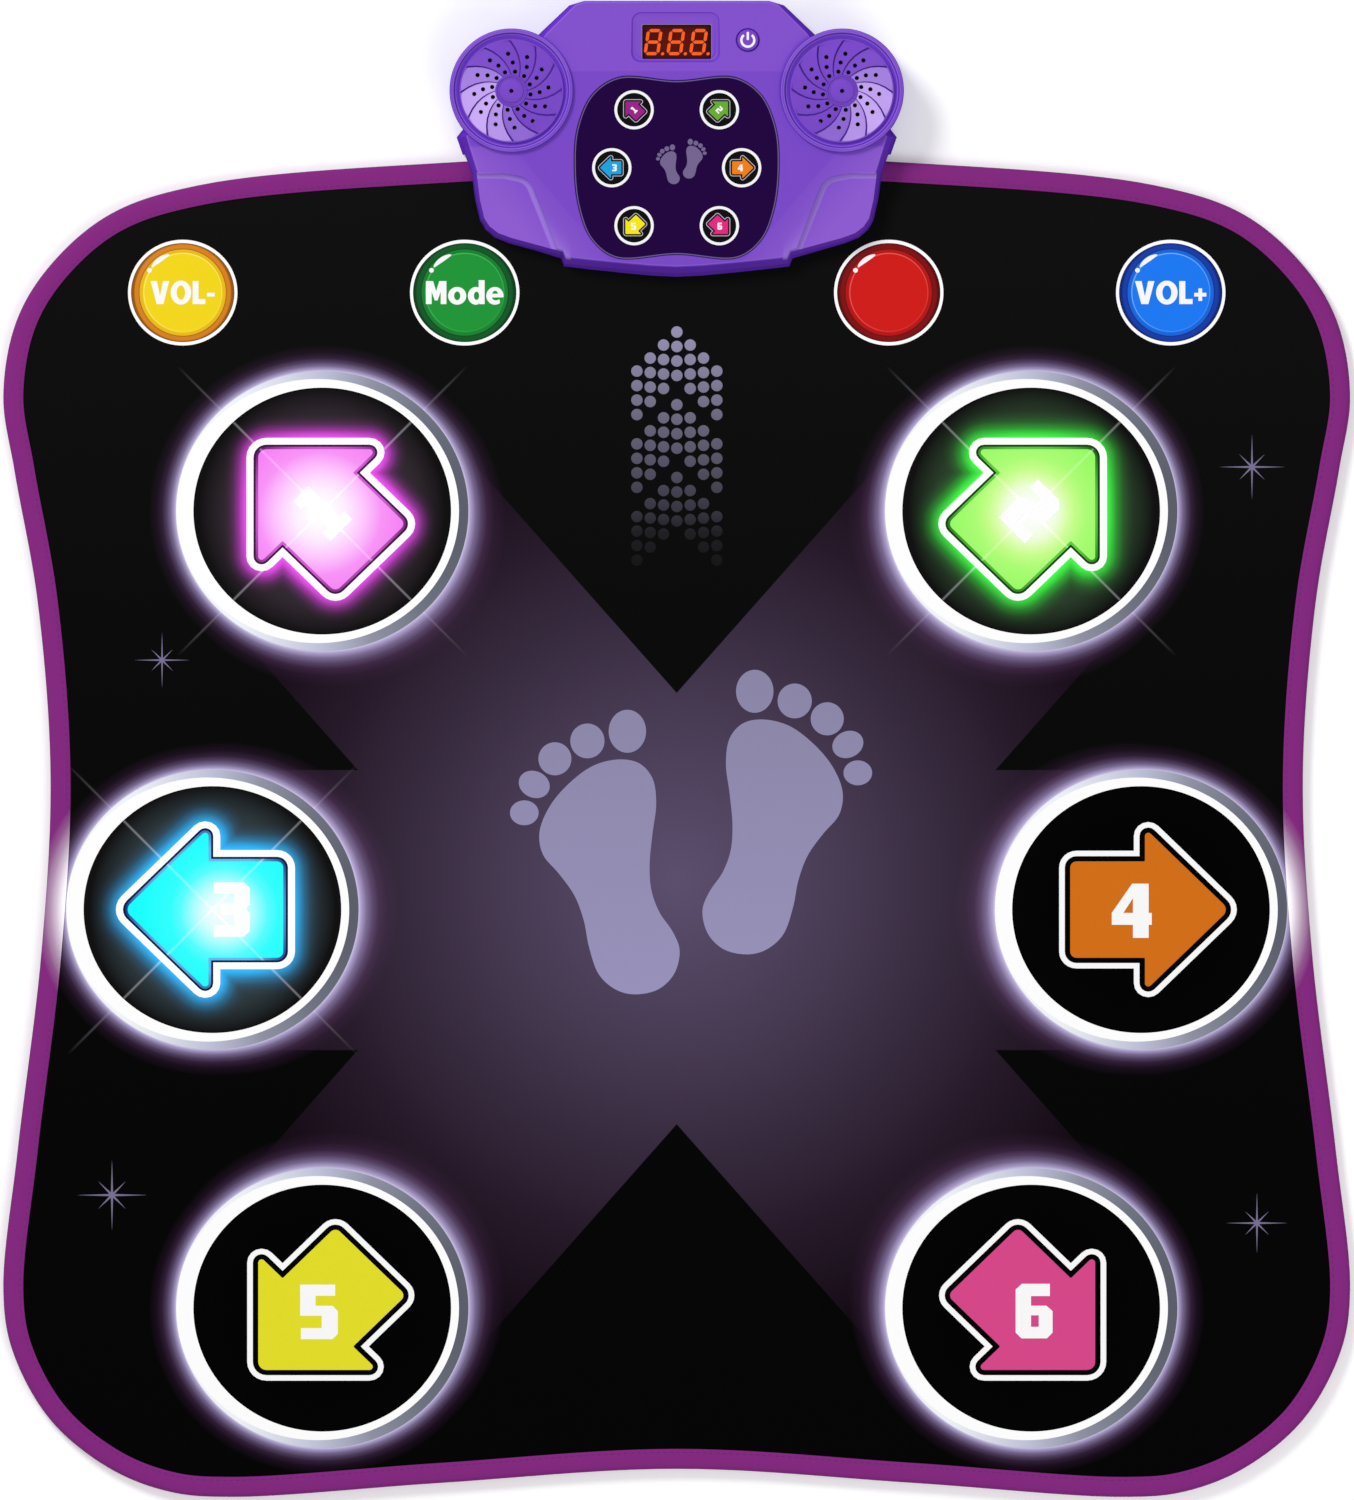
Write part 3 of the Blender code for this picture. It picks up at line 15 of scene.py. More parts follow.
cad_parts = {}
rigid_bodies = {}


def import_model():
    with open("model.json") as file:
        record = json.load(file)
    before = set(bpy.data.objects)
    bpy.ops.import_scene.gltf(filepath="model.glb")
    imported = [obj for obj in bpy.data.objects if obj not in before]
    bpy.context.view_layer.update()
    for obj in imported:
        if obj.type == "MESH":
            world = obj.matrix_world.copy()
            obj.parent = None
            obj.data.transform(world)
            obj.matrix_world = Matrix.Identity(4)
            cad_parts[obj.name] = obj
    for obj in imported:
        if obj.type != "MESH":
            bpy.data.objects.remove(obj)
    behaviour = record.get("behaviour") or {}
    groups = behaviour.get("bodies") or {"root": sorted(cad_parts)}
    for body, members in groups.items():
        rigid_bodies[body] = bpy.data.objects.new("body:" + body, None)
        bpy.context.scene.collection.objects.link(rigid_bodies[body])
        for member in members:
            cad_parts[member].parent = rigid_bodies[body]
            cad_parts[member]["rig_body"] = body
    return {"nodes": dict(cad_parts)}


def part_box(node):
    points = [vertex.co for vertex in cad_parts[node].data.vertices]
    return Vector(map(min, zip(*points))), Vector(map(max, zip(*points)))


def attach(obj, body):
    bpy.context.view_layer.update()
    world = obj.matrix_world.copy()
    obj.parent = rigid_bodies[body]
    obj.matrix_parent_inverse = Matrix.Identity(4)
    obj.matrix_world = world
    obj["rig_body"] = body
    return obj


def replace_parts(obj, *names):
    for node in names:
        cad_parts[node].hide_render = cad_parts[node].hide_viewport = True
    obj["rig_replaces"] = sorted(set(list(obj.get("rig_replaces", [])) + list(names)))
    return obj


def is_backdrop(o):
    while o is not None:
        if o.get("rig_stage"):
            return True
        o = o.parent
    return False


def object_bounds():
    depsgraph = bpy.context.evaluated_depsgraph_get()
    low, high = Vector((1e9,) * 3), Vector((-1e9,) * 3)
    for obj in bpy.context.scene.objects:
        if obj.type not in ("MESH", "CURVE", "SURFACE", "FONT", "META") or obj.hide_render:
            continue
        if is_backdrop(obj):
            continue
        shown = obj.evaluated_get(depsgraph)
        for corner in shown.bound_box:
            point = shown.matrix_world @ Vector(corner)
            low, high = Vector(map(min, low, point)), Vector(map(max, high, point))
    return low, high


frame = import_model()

bl_info = {
    "name": "Dance rhythm machine",
    "version": (1, 0, 0),
    "blender": (4, 5, 0),
    "location": "View3D > Sidebar > Dance machine",
    "description": "Builds the visible pieces of a dance rhythm machine round its packed frame",
    "category": "Object",
}

MM = 0.001
WELD = 1e-6  # points closer than this are one
FRAME_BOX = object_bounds()
CAMERA_HEIGHT = 24.0
VIEW_HEIGHT = 1.0245
VIEW_CENTRE = (0.0002, -0.0003)
FLOOR_SIZE = 4.0
FLOOR_DROP = 0.0004  # keeps the floor clear of the mat's underside


def tone(red, green, blue):
    """A colour as it looks on screen, 0 to 255, in the linear numbers that shaders use."""
    shares = [c / 255 for c in (red, green, blue)]
    return tuple(c / 12.92 if c <= 0.04045 else ((c + 0.055) / 1.055) ** 2.4 for c in shares)


# ---- Places from the frame -----------------------------------------------------------------
def centre_of(node):
    low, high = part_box(node)
    return (low + high) / 2


BINDING_LOW, BINDING_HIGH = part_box("edge_binding")
MAT_HALF_WIDTH = BINDING_HIGH.x
MAT_FRONT = BINDING_LOW.y
MAT_LENGTH = BINDING_HIGH.y - BINDING_LOW.y
MAT_TOP = BINDING_HIGH.z
COVER_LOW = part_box("top_cover")[0].z
COVER_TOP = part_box("top_cover")[1].z
PAD_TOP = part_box("step_pad_1")[1].z
FILM_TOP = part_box("upper_contact_film")[1].z
SPACER_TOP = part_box("spacer_foam")[1].z
STEP_PADS = [centre_of(f"step_pad_{number}") for number in range(1, 7)]
KEYS = ("volume_down", "mode", "source", "volume_up")
CONTROL_PADS = [centre_of(f"control_pad_{key}") for key in KEYS]
TAPE = 0.0007
TAPE_WIDTH = 0.0137
GAP = 0.0003
PAD_ASPECT = 1.044
PAD_FLANGE = 0.004
SCREW_BORE = 0.0031
STEP_PAD_RADIUS = (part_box("step_pad_1")[1].y - STEP_PADS[0].y) - PAD_FLANGE
CONTROL_PAD_RADIUS = (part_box("control_pad_mode")[1].y - CONTROL_PADS[1].y) - PAD_FLANGE
PRINT = 0.00010
INK_PITCH = 0.0009

CONSOLE_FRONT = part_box("console_bottom_shell")[0].y
CONSOLE_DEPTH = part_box("console_bottom_shell")[1].y - CONSOLE_FRONT
CONSOLE_WIDTH = 2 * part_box("console_top_shell")[1].x
FACE_TILT = math.radians(6)
FACE_FRONT_HEIGHT = 0.025
FACE = Matrix.Translation((0, CONSOLE_FRONT, FACE_FRONT_HEIGHT)) @ Matrix.Rotation(FACE_TILT, 4, "X")

# Half outlines from the rear middle to the front middle, as shares of half width and length.
MAT_HALF = (
    (0, 1.0), (0.351, 0.9948), (0.7073, 0.9784), (0.8409, 0.9567), (0.9299, 0.9187),
    (0.9804, 0.877), (1.0, 0.821), (0.9834, 0.7651), (0.9492, 0.6682), (0.9299, 0.5377),
    (0.9433, 0.4072), (0.9789, 0.258), (1.0, 0.1536), (0.9863, 0.1089), (0.9299, 0.0574),
    (0.8409, 0.0209), (0.7518, 0.0037), (0.6627, 0), (0.351, 0.0104), (0, 0.0209),
)


# ---- Outlines ------------------------------------------------------------------------------
def mirrored(half):
    """A whole loop from the half at +X that runs from the rear middle to the front middle."""
    return list(half) + [(-x, y) for x, y in reversed(half[1:-1])]


def smooth_loop(points, steps):
    """A closed centripetal Catmull-Rom curve through the points."""
    loop, count = [], len(points)
    for i in range(count):
        p = [Vector(points[(i + k - 1) % count]) for k in range(4)]
        t = [0.0]
        for a, b in zip(p, p[1:]):
            t.append(t[-1] + math.sqrt((b - a).length))
        for step in range(steps):
            at = t[1] + (t[2] - t[1]) * step / steps
            level = p
            for width in (1, 2, 3):
                lower = []
                for k in range(len(level) - 1):
                    low, high = (t[1], t[2]) if width == 3 else (t[k], t[k + width])
                    lower.append(level[k].lerp(level[k + 1], (at - low) / (high - low)))
                level = lower
            loop.append((level[0].x, level[0].y))
    return loop


def sides(loop):
    """Each point of a closed loop with the next one."""
    return zip(loop, loop[1:] + loop[:1])


def signed_area(loop):
    """The area inside a loop, positive where it runs anticlockwise."""
    return sum(a[0] * b[1] - b[0] * a[1] for a, b in sides(loop)) / 2


def inset(loop, distance):
    """The loop moved inwards, with mitred corners."""
    side = 1 if signed_area(loop) > 0 else -1
    moved = []
    for i, here in enumerate(loop):
        before = (Vector(here) - Vector(loop[i - 1])).normalized()
        after = (Vector(loop[(i + 1) % len(loop)]) - Vector(here)).normalized()
        across = Vector((-(before + after).y, (before + after).x)).normalized() * side
        mitre = max(0.25, across.dot(Vector((-after.y, after.x)) * side))
        moved.append(tuple(Vector(here) + across * distance / mitre))
    return moved


def ellipse(x, y, radius, count, aspect=1.0):
    turns = [2 * math.pi * k / count for k in range(count)]
    return [(x + radius * aspect * math.cos(a), y + radius * math.sin(a)) for a in turns]


def rounded(corners, offset=0.0, steps=6):
    """A polygon of (x, y, radius), moved outwards by offset, with an arc at each corner.

    Corners run anticlockwise. A corner's arc grows with the offset where it is convex.
    """
    loop = []
    count = len(corners)
    places = [(x, y) for x, y, _ in corners]
    if offset:
        places = inset(places, -offset)
    for i, here in enumerate(places):
        here = Vector(here)
        back = (Vector(places[i - 1]) - here).normalized()
        on = (Vector(places[(i + 1) % count]) - here).normalized()
        convex = back.cross(on) < 0
        radius = max(corners[i][2] + (offset if convex else -offset), 0.0002)
        half = math.acos(max(-1, min(1, back.dot(on)))) / 2
        reach = radius / math.tan(half)
        centre = here + (back + on).normalized() * radius / math.sin(half)
        start = here + back * reach - centre
        end = here + on * reach - centre
        turn = start.angle_signed(end)
        for k in range(steps + 1):
            arm = start.copy()
            arm.rotate(Matrix.Rotation(-turn * k / steps, 2))
            loop.append(tuple(centre + arm))
    return loop


def moved(loop, x=0.0, y=0.0, turn=0.0, scale=1.0, mirror=1):
    """The loop mirrored in X, scaled, turned and shifted, in that order."""
    c, s = math.cos(turn), math.sin(turn)
    return [
        (x + scale * (mirror * px * c - py * s), y + scale * (mirror * px * s + py * c))
        for px, py in loop
    ]


def at_height(loop, z):
    return [(x, y, z) for x, y in loop]


def mat_outline(steps=10):
    half = [(x * MAT_HALF_WIDTH, MAT_FRONT + y * MAT_LENGTH) for x, y in MAT_HALF]
    return smooth_loop(mirrored(half), steps)


# ---- Pieces --------------------------------------------------------------------------------
def new_object(name, mesh, material, slot, body="machine", sharp=30):
    """A finished piece on its body, smooth except where faces turn by more than sharp degrees."""
    obj = bpy.data.objects.new(name, mesh)
    bpy.context.scene.collection.objects.link(obj)
    mesh.materials.clear()
    mesh.materials.append(material)
    mesh.shade_smooth()
    mesh.set_sharp_from_angle(angle=math.radians(sharp))
    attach(obj, body)
    return obj


def mesh_of(name, shape):
    """A mesh that takes over a bmesh."""
    mesh = bpy.data.meshes.new(name)
    shape.to_mesh(mesh)
    shape.free()
    return mesh


def from_shape(name, shape, material, slot, body="machine", sharp=30):
    return new_object(name, mesh_of(name, shape), material, slot, body, sharp)


def flat_mesh(name, loops, low, high, matrix=None):
    """A flat closed plate from outlines: a loop inside another is its hole."""
    curve = bpy.data.curves.new(name, "CURVE")
    curve.dimensions = "2D"
    curve.fill_mode = "BOTH"
    curve.extrude = (high - low) / 2
    for loop in loops:
        spline = curve.splines.new("POLY")
        spline.points.add(len(loop) - 1)
        for point, (x, y) in zip(spline.points, loop):
            point.co = (x, y, 0, 1)
        spline.use_cyclic_u = True
    return curve_mesh(name, curve, (low + high) / 2, matrix)


def curve_mesh(name, curve, height, matrix=None):
    guide = bpy.data.objects.new(name + "_guide", curve)
    bpy.context.scene.collection.objects.link(guide)
    bpy.context.view_layer.update()
    graph = bpy.context.evaluated_depsgraph_get()
    mesh = bpy.data.meshes.new_from_object(guide.evaluated_get(graph))
    bpy.data.objects.remove(guide)
    shape = bmesh.new()
    shape.from_mesh(mesh)
    bmesh.ops.remove_doubles(shape, verts=shape.verts, dist=WELD)
    bmesh.ops.translate(shape, verts=shape.verts, vec=(0, 0, height))
    bmesh.ops.transform(shape, matrix=matrix or Matrix.Identity(4), verts=shape.verts)
    bmesh.ops.recalc_face_normals(shape, faces=shape.faces)
    mesh.name = name
    shape.to_mesh(mesh)
    shape.free()
    return mesh


def flat_piece(name, loops, low, high, material, slot, body="machine", matrix=None):
    return new_object(name, flat_mesh(name, loops, low, high, matrix), material, slot, body)


def lofted(rings, closed=False):
    """A closed surface through rings of points, capped at its ends unless it closes on itself."""
    shape = bmesh.new()
    verts = [shape.verts.new(point) for point in rings[0]]
    edges = [shape.edges.new((a, b)) for a, b in sides(verts)]
    if not closed:
        bmesh.ops.contextual_create(shape, geom=edges)
    for ring in rings[1:] + ([rings[0]] if closed else []):
        grown = set(bmesh.ops.extrude_edge_only(shape, edges=edges)["geom"])
        verts = [next(e.other_vert(v) for e in v.link_edges if e.other_vert(v) in grown) for v in verts]
        edges = [shape.edges.get(pair) for pair in sides(verts)]
        for vert, point in zip(verts, ring):
            vert.co = point
    if closed:
        bmesh.ops.remove_doubles(shape, verts=shape.verts, dist=1e-7)
    else:
        bmesh.ops.contextual_create(shape, geom=edges)
    bmesh.ops.recalc_face_normals(shape, faces=shape.faces)
    return shape


def stacked(loop, profile, matrix=None, closed=False):
    """A solid whose section follows profile, a list of (inset, height), all round the loop."""
    matrix = matrix or Matrix.Identity(4)
    rings = [[matrix @ Vector((x, y, z)) for x, y in inset(loop, d)] for d, z in profile]
    return lofted(rings, closed)


def turned(profile, matrix=None, steps=96):
    """A profile of (radius, height) spun about the Z axis, from its top middle to its bottom middle."""
    shape = bmesh.new()
    points = [shape.verts.new((radius, 0, height)) for radius, height in profile]
    edges = [shape.edges.new((a, b)) for a, b in zip(points, points[1:])]
    bmesh.ops.spin(
        shape,
        geom=points + edges,
        cent=(0, 0, 0),
        axis=(0, 0, 1),
        angle=2 * math.pi,
        steps=steps,
        use_merge=True,
    )
    bmesh.ops.remove_doubles(shape, verts=shape.verts, dist=WELD)
    bmesh.ops.transform(shape, matrix=matrix or Matrix.Identity(4), verts=shape.verts)
    bmesh.ops.recalc_face_normals(shape, faces=shape.faces)
    return shape


def join_shapes(*shapes):
    """Several bmeshes as one."""
    whole = bmesh.new()
    for shape in shapes:
        part = mesh_of("part", shape)
        whole.from_mesh(part)
        bpy.data.meshes.remove(part)
    return whole


def helper_object(name, shape):
    obj = bpy.data.objects.new(name, mesh_of(name, shape))
    bpy.context.scene.collection.objects.link(obj)
    return obj


def carve(shape, *steps):
    """The shape after Boolean steps of (operation, other shape), as one bmesh."""
    target = helper_object("carved", shape)
    tools = []
    for operation, other in steps:
        tool = helper_object("carver", other)
        tools.append(tool)
        modifier = target.modifiers.new(operation, "BOOLEAN")
        modifier.operation = operation
        modifier.object = tool
    bpy.context.view_layer.update()
    graph = bpy.context.evaluated_depsgraph_get()
    mesh = bpy.data.meshes.new_from_object(target.evaluated_get(graph))
    for obj in [target, *tools]:
        bpy.data.objects.remove(obj)
    result = bmesh.new()
    result.from_mesh(mesh)
    bmesh.ops.remove_doubles(result, verts=result.verts, dist=2e-6)
    bpy.data.meshes.remove(mesh)
    return result


def cad_shape(node):
    """A CAD node's own shape with its triangles joined."""
    shape = bmesh.new()
    shape.from_mesh(frame["nodes"][node].data)
    bmesh.ops.remove_doubles(shape, verts=shape.verts, dist=WELD)
    return shape


def merged_copy(name, node, material, slot, sharp=25):
    """A piece with a CAD node's own shape, whose round sides shade smooth."""
    obj = from_shape(name, cad_shape(node), material, slot, frame["nodes"][node]["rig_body"], sharp)
    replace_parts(obj, node)
    return obj


# ---- Materials -----------------------------------------------------------------------------
class Term:
    """A number inside a material's node graph that adds and multiplies like any other."""

    def __init__(self, graph, socket):
        self.graph = graph
        self.socket = socket

    def apply(self, operation, *others, clamp=False):
        return self.graph.math(operation, self, *others, clamp=clamp)

    def __add__(self, other):
        return self.apply("ADD", other)

    def __sub__(self, other):
        return self.apply("SUBTRACT", other)

    def __mul__(self, other):
        return self.apply("MULTIPLY", other)

    def __truediv__(self, other):
        return self.apply("DIVIDE", other)

    def __rsub__(self, other):
        return self.graph.math("SUBTRACT", other, self)

    def __neg__(self):
        return self.apply("MULTIPLY", -1.0)

    def __abs__(self):
        return self.apply("ABSOLUTE")

    def least(self, other):
        return self.apply("MINIMUM", other)

    def most(self, other):
        return self.apply("MAXIMUM", other)

    def clamped(self):
        return self.apply("ADD", 0.0, clamp=True)

    def root(self):
        return self.apply("SQRT")


def flat_length(dx, dy):
    """The length of a flat vector of two terms."""
    return (dx * dx + dy * dy).root()


class Graph:
    """A Principled material worked out from Object coordinates."""

    def __init__(self, name, roughness=0.5, specular=0.5, metallic=0.0):
        self.material = bpy.data.materials.new(name)
        self.material.use_nodes = True
        self.tree = self.material.node_tree
        self.shader = self.tree.nodes["Principled BSDF"]
        self.shader.inputs["Roughness"].default_value = roughness
        self.shader.inputs["Specular IOR Level"].default_value = specular
        self.shader.inputs["Metallic"].default_value = metallic
        coordinates = self.tree.nodes.new("ShaderNodeTexCoord")
        self.here = coordinates.outputs["Object"]
        self.turn = coordinates.outputs["Normal"]
        parts = self.node("ShaderNodeSeparateXYZ", {0: self.here})
        self.x, self.y, self.z = [Term(self, parts.outputs[k]) for k in range(3)]

    def node(self, kind, inputs=None, **settings):
        node = self.tree.nodes.new(kind)
        for key, value in settings.items():
            setattr(node, key, value)
        for key, value in (inputs or {}).items():
            self.plug(node.inputs[key], value)
        return node

    def plug(self, socket, value):
        if isinstance(value, Term):
            value = value.socket
        if isinstance(value, bpy.types.NodeSocket):
            self.tree.links.new(value, socket)
        elif isinstance(value, tuple) and socket.type == "RGBA":
            socket.default_value = (*value[:3], 1.0)
        else:
            socket.default_value = value

    def math(self, operation, *values, clamp=False):
        node = self.node("ShaderNodeMath", dict(enumerate(values)), operation=operation, use_clamp=clamp)
        return Term(self, node.outputs[0])

    def away(self, x, y):
        """How far a place lies from an upright line, as steps in X and Y and as a distance."""
        dx, dy = self.x - x, self.y - y
        return dx, dy, flat_length(dx, dy)

    def attribute(self, name):
        return Term(self, self.node("ShaderNodeAttribute", attribute_name=name).outputs["Fac"])

    def mix(self, factor, first, second, mode="MIX"):
        inputs = {0: factor, 6: first, 7: second}
        return self.node("ShaderNodeMix", inputs, data_type="RGBA", blend_type=mode).outputs[2]

    def ramp(self, factor, *stops):
        node = self.node("ShaderNodeValToRGB", {0: factor})
        elements = node.color_ramp.elements
        while len(elements) < len(stops):
            elements.new(0.5)
        for element, (position, colour) in zip(elements, stops):
            element.position = position
            element.color = (*(colour if isinstance(colour, tuple) else [colour] * 3), 1.0)
        return node.outputs[0]

    def noise(self, scale, detail=2.0):
        node = self.node("ShaderNodeTexNoise", {"Vector": self.here, "Scale": scale, "Detail": detail})
        return Term(self, node.outputs["Fac"])

    def waves(self, pitch, axis):
        """Ridges that repeat every pitch metres along an axis term, from 0 to 1."""
        return (axis * (2 * math.pi / pitch)).apply("SINE") * 0.5 + 0.5

    def grained(self, colour, amount, scale):
        """The colour with a fine lighter and darker grain."""
        lift = self.noise(scale, 3.0) * (2 * amount) + (1 - amount)
        grey = self.node("ShaderNodeCombineColor", {0: lift, 1: lift, 2: lift}).outputs[0]
        return self.mix(1.0, colour, grey, "MULTIPLY")

    def finish(self, colour, height=None, depth=0.00005, strength=0.4, glow=0.0):
        self.plug(self.shader.inputs["Base Color"], colour)
        if height is not None:
            inputs = {"Height": height, "Distance": depth, "Strength": strength}
            bump = self.node("ShaderNodeBump", inputs)
            self.plug(self.shader.inputs["Normal"], bump.outputs[0])
        if glow:
            self.plug(self.shader.inputs["Emission Color"], colour)
            self.shader.inputs["Emission Strength"].default_value = glow
        return self.material

    def printed(self, colour, grain=0.03, glow=0.0):
        """Finishes the material as ink on a fine rib."""
        ribs = self.waves(INK_PITCH, self.x)
        return self.finish(self.grained(colour, grain, 900.0), ribs, 0.00003, 0.3, glow)


def plain(name, colour, grain, bump, **surface):
    """One colour with a (share, scale) grain and a (scale, depth, strength) bump."""
    g = Graph(name, **surface)
    scale, depth, strength = bump
    return g.finish(g.grained(colour, *grain), g.noise(scale), depth, strength)


def moulded(name, colour, roughness=0.42, specular=0.08):
    """Injection-moulded plastic with a fine spark-eroded grain."""
    bump = (2600.0, 0.00004, 0.25)
    return plain(name, colour, (0.03, 700.0), bump, roughness=roughness, specular=specular)


def brushed_metal(name, colour=(0.55, 0.55, 0.57), roughness=0.3):
    return plain(name, colour, (0.08, 1500.0), (4000.0, 0.00002, 0.3), roughness=roughness, metallic=1.0)


def ink(name, colour, glow=0.0):
    """Screen-printed ink on the mat's cloth; any glow is a painted glow."""
    g = Graph(name, roughness=0.6, specular=0.05)
    weave = g.waves(INK_PITCH, g.x) * g.waves(INK_PITCH, g.y)
    return g.finish(g.grained(colour, 0.03, 900.0), weave, 0.00003, 0.3, glow)


# ---- Settings ------------------------------------------------------------------------------
def colour_setting(name, description, *screen):
    return FloatVectorProperty(
        name=name, description=description, subtype="COLOR", size=3, min=0, max=1, default=tone(*screen)
    )


def length_setting(name, description, default):
    return FloatProperty(name=name, description=description, unit="LENGTH", default=default, precision=4)


class DANCE_PG_mat(bpy.types.PropertyGroup):
    black_rear: colour_setting("Rear black", "Print black at the console's edge", 17, 17, 17)
    black_front: colour_setting("Front black", "Print black at the dancer's edge", 4, 4, 4)
    binding: colour_setting("Binding", "Colour of the sewn edge tape", 132, 39, 128)
    backing: colour_setting("Backing", "Colour of the grip cloth underneath", 58, 58, 62)
    feet_front: colour_setting("Feet, front", "Printed feet at their heels", 155, 148, 190)
    feet_rear: colour_setting("Feet, rear", "Printed feet at their toes", 140, 135, 168)
    dots: colour_setting("Dots", "Colour of the dotted arrows at the rear", 150, 145, 178)
    stitch_pitch: length_setting("Stitch pitch", "Distance from one stitch to the next", 0.0045)


class DANCE_PG_pads(bpy.types.PropertyGroup):
    white: colour_setting("White", "Rings, outlines and numbers", 253, 253, 253)
    orange: colour_setting("Pad 4", "Arrow of pad 4", 213, 112, 20)
    yellow: colour_setting("Pad 5", "Arrow of pad 5", 230, 224, 40)
    pink: colour_setting("Pad 6", "Arrow of pad 6", 217, 72, 139)
    arrow_gap: length_setting("Arrow gap", "Black line between an arrow and its outline", 0.0036)
    arrow_line: length_setting("Arrow line", "Width of an arrow's white outline", 0.0037)


class DANCE_PG_console(bpy.types.PropertyGroup):
    shell: colour_setting("Shell", "Main colour of the console", 123, 73, 202)
    panel: colour_setting("Panel", "Dark printed face panel", 35, 7, 65)
    segment: colour_setting("Digits", "Lit segments of the counter", 238, 78, 22)


# ---- Stage ---------------------------------------------------------------------------------
class DANCE_OT_stage(bpy.types.Operator):
    """Camera straight above the mat, a pale floor and soft studio light"""

    bl_idname = "dance.stage"
    bl_label = "Stage"
    bl_options = {"REGISTER", "UNDO"}

    def execute(self, context):
        scene = context.scene
        camera = bpy.data.objects.new("camera", bpy.data.cameras.new("camera"))
        scene.collection.objects.link(camera)
        camera.location = (*VIEW_CENTRE, CAMERA_HEIGHT + COVER_TOP)
        camera.data.sensor_width = 36.0
        camera.data.lens = camera.data.sensor_width * CAMERA_HEIGHT / VIEW_HEIGHT
        scene.camera = camera
        scene.view_settings.view_transform = "Standard"
        self.world(scene)
        self.floor()
        self.softbox(scene, "softbox_rear_left", (-2.4, 3.04, 3.68), 1.7, 145.0)
        self.softbox(scene, "softbox_front_right", (1.4, -1.6, 3.0), 2.4, 38.0)
        return {"FINISHED"}

    def world(self, scene):
        scene.world = bpy.data.worlds.new("studio")
        scene.world.use_nodes = True
        tree = scene.world.node_tree
        soft = tree.nodes["Background"]
        soft.inputs["Color"].default_value = (1, 1, 1, 1)
        soft.inputs["Strength"].default_value = 0.40
        white = tree.nodes.new("ShaderNodeBackground")
        white.inputs["Strength"].default_value = 1.0
        white.inputs["Color"].default_value = (1, 1, 1, 1)
        self.split_by_ray(tree, soft, white, "World Output")

    def split_by_ray(self, tree, unseen, seen, output):
        """Shows one shader to rays from the camera, gloss and glass, and another to all other rays."""
        path = tree.nodes.new("ShaderNodeLightPath")
        share = path.outputs["Is Camera Ray"]
        for kind in ("Is Glossy Ray", "Is Transmission Ray"):
            either = tree.nodes.new("ShaderNodeMath")
            either.operation = "MAXIMUM"
            tree.links.new(share, either.inputs[0])
            tree.links.new(path.outputs[kind], either.inputs[1])
            share = either.outputs[0]
        mix = tree.nodes.new("ShaderNodeMixShader")
        for socket, source in zip(mix.inputs, (share, unseen.outputs[0], seen.outputs[0])):
            tree.links.new(source, socket)
        tree.links.new(mix.outputs[0], tree.nodes[output].inputs[0])

    def floor(self):
        shape = bmesh.new()
        bmesh.ops.create_grid(shape, x_segments=1, y_segments=1, size=FLOOR_SIZE)
        bmesh.ops.translate(shape, verts=shape.verts, vec=(0, 0, -FLOOR_DROP))
        obj = helper_object("floor", shape)
        g = Graph("pale_floor", roughness=0.9, specular=0.0)
        g.finish(g.grained(tone(240, 240, 241), 0.01, 40.0))
        tree = g.tree
        glow = tree.nodes.new("ShaderNodeEmission")
        glow.inputs["Strength"].default_value = 0.26
        total = tree.nodes.new("ShaderNodeAddShader")
        tree.links.new(g.shader.outputs[0], total.inputs[0])
        tree.links.new(glow.outputs[0], total.inputs[1])
        self.split_by_ray(tree, g.shader, total, "Material Output")
        obj.data.materials.append(g.material)
        obj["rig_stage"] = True

    def softbox(self, scene, name, place, size, power):
        lamp = bpy.data.lights.new(name, "AREA")
        lamp.shape = "DISK"
        lamp.size = size
        lamp.energy = power
        obj = bpy.data.objects.new(name, lamp)
        scene.collection.objects.link(obj)
        obj.location = place
        obj.rotation_euler = (-Vector(place)).to_track_quat("-Z", "Y").to_euler()


# ---- Mat print -----------------------------------------------------------------------------
GRIP_PITCH = 0.006
RING_OUTER = STEP_PAD_RADIUS + 0.0117
RING_WHITE = STEP_PAD_RADIUS + 0.0063
RING_SHIFT = 0.0032
RING_WHITE_ASPECT = 1.071
BEAM_SLOPE = 1.13
BEAM_REAR_POINT = 0.0386
BEAM_FRONT_POINT = -0.2558
BEAM_SIDE_X = 0.2177
BEAM_SIDE_REAR = -0.0140
BEAM_SIDE_FRONT = -0.2052
BEAM_CENTRE_Y = -0.089
BEAM_REACH = 0.30
BEAM_FADE = 0.05
BEAM_EDGE = 0.0006
HALO_REACH = 0.018
BINDING_HALO_REACH = HALO_REACH * 1.15
STREAK_REACH = 0.140
STREAK_WIDTH = 0.0016


def pad_distance(g, across, centre):
    """How far a place lies outside a step pad's outer ring, in metres."""
    dx = (across - abs(centre.x)) / PAD_ASPECT
    dy = g.y - centre.y
    return flat_length(dx, dy) - RING_OUTER, dx, dy


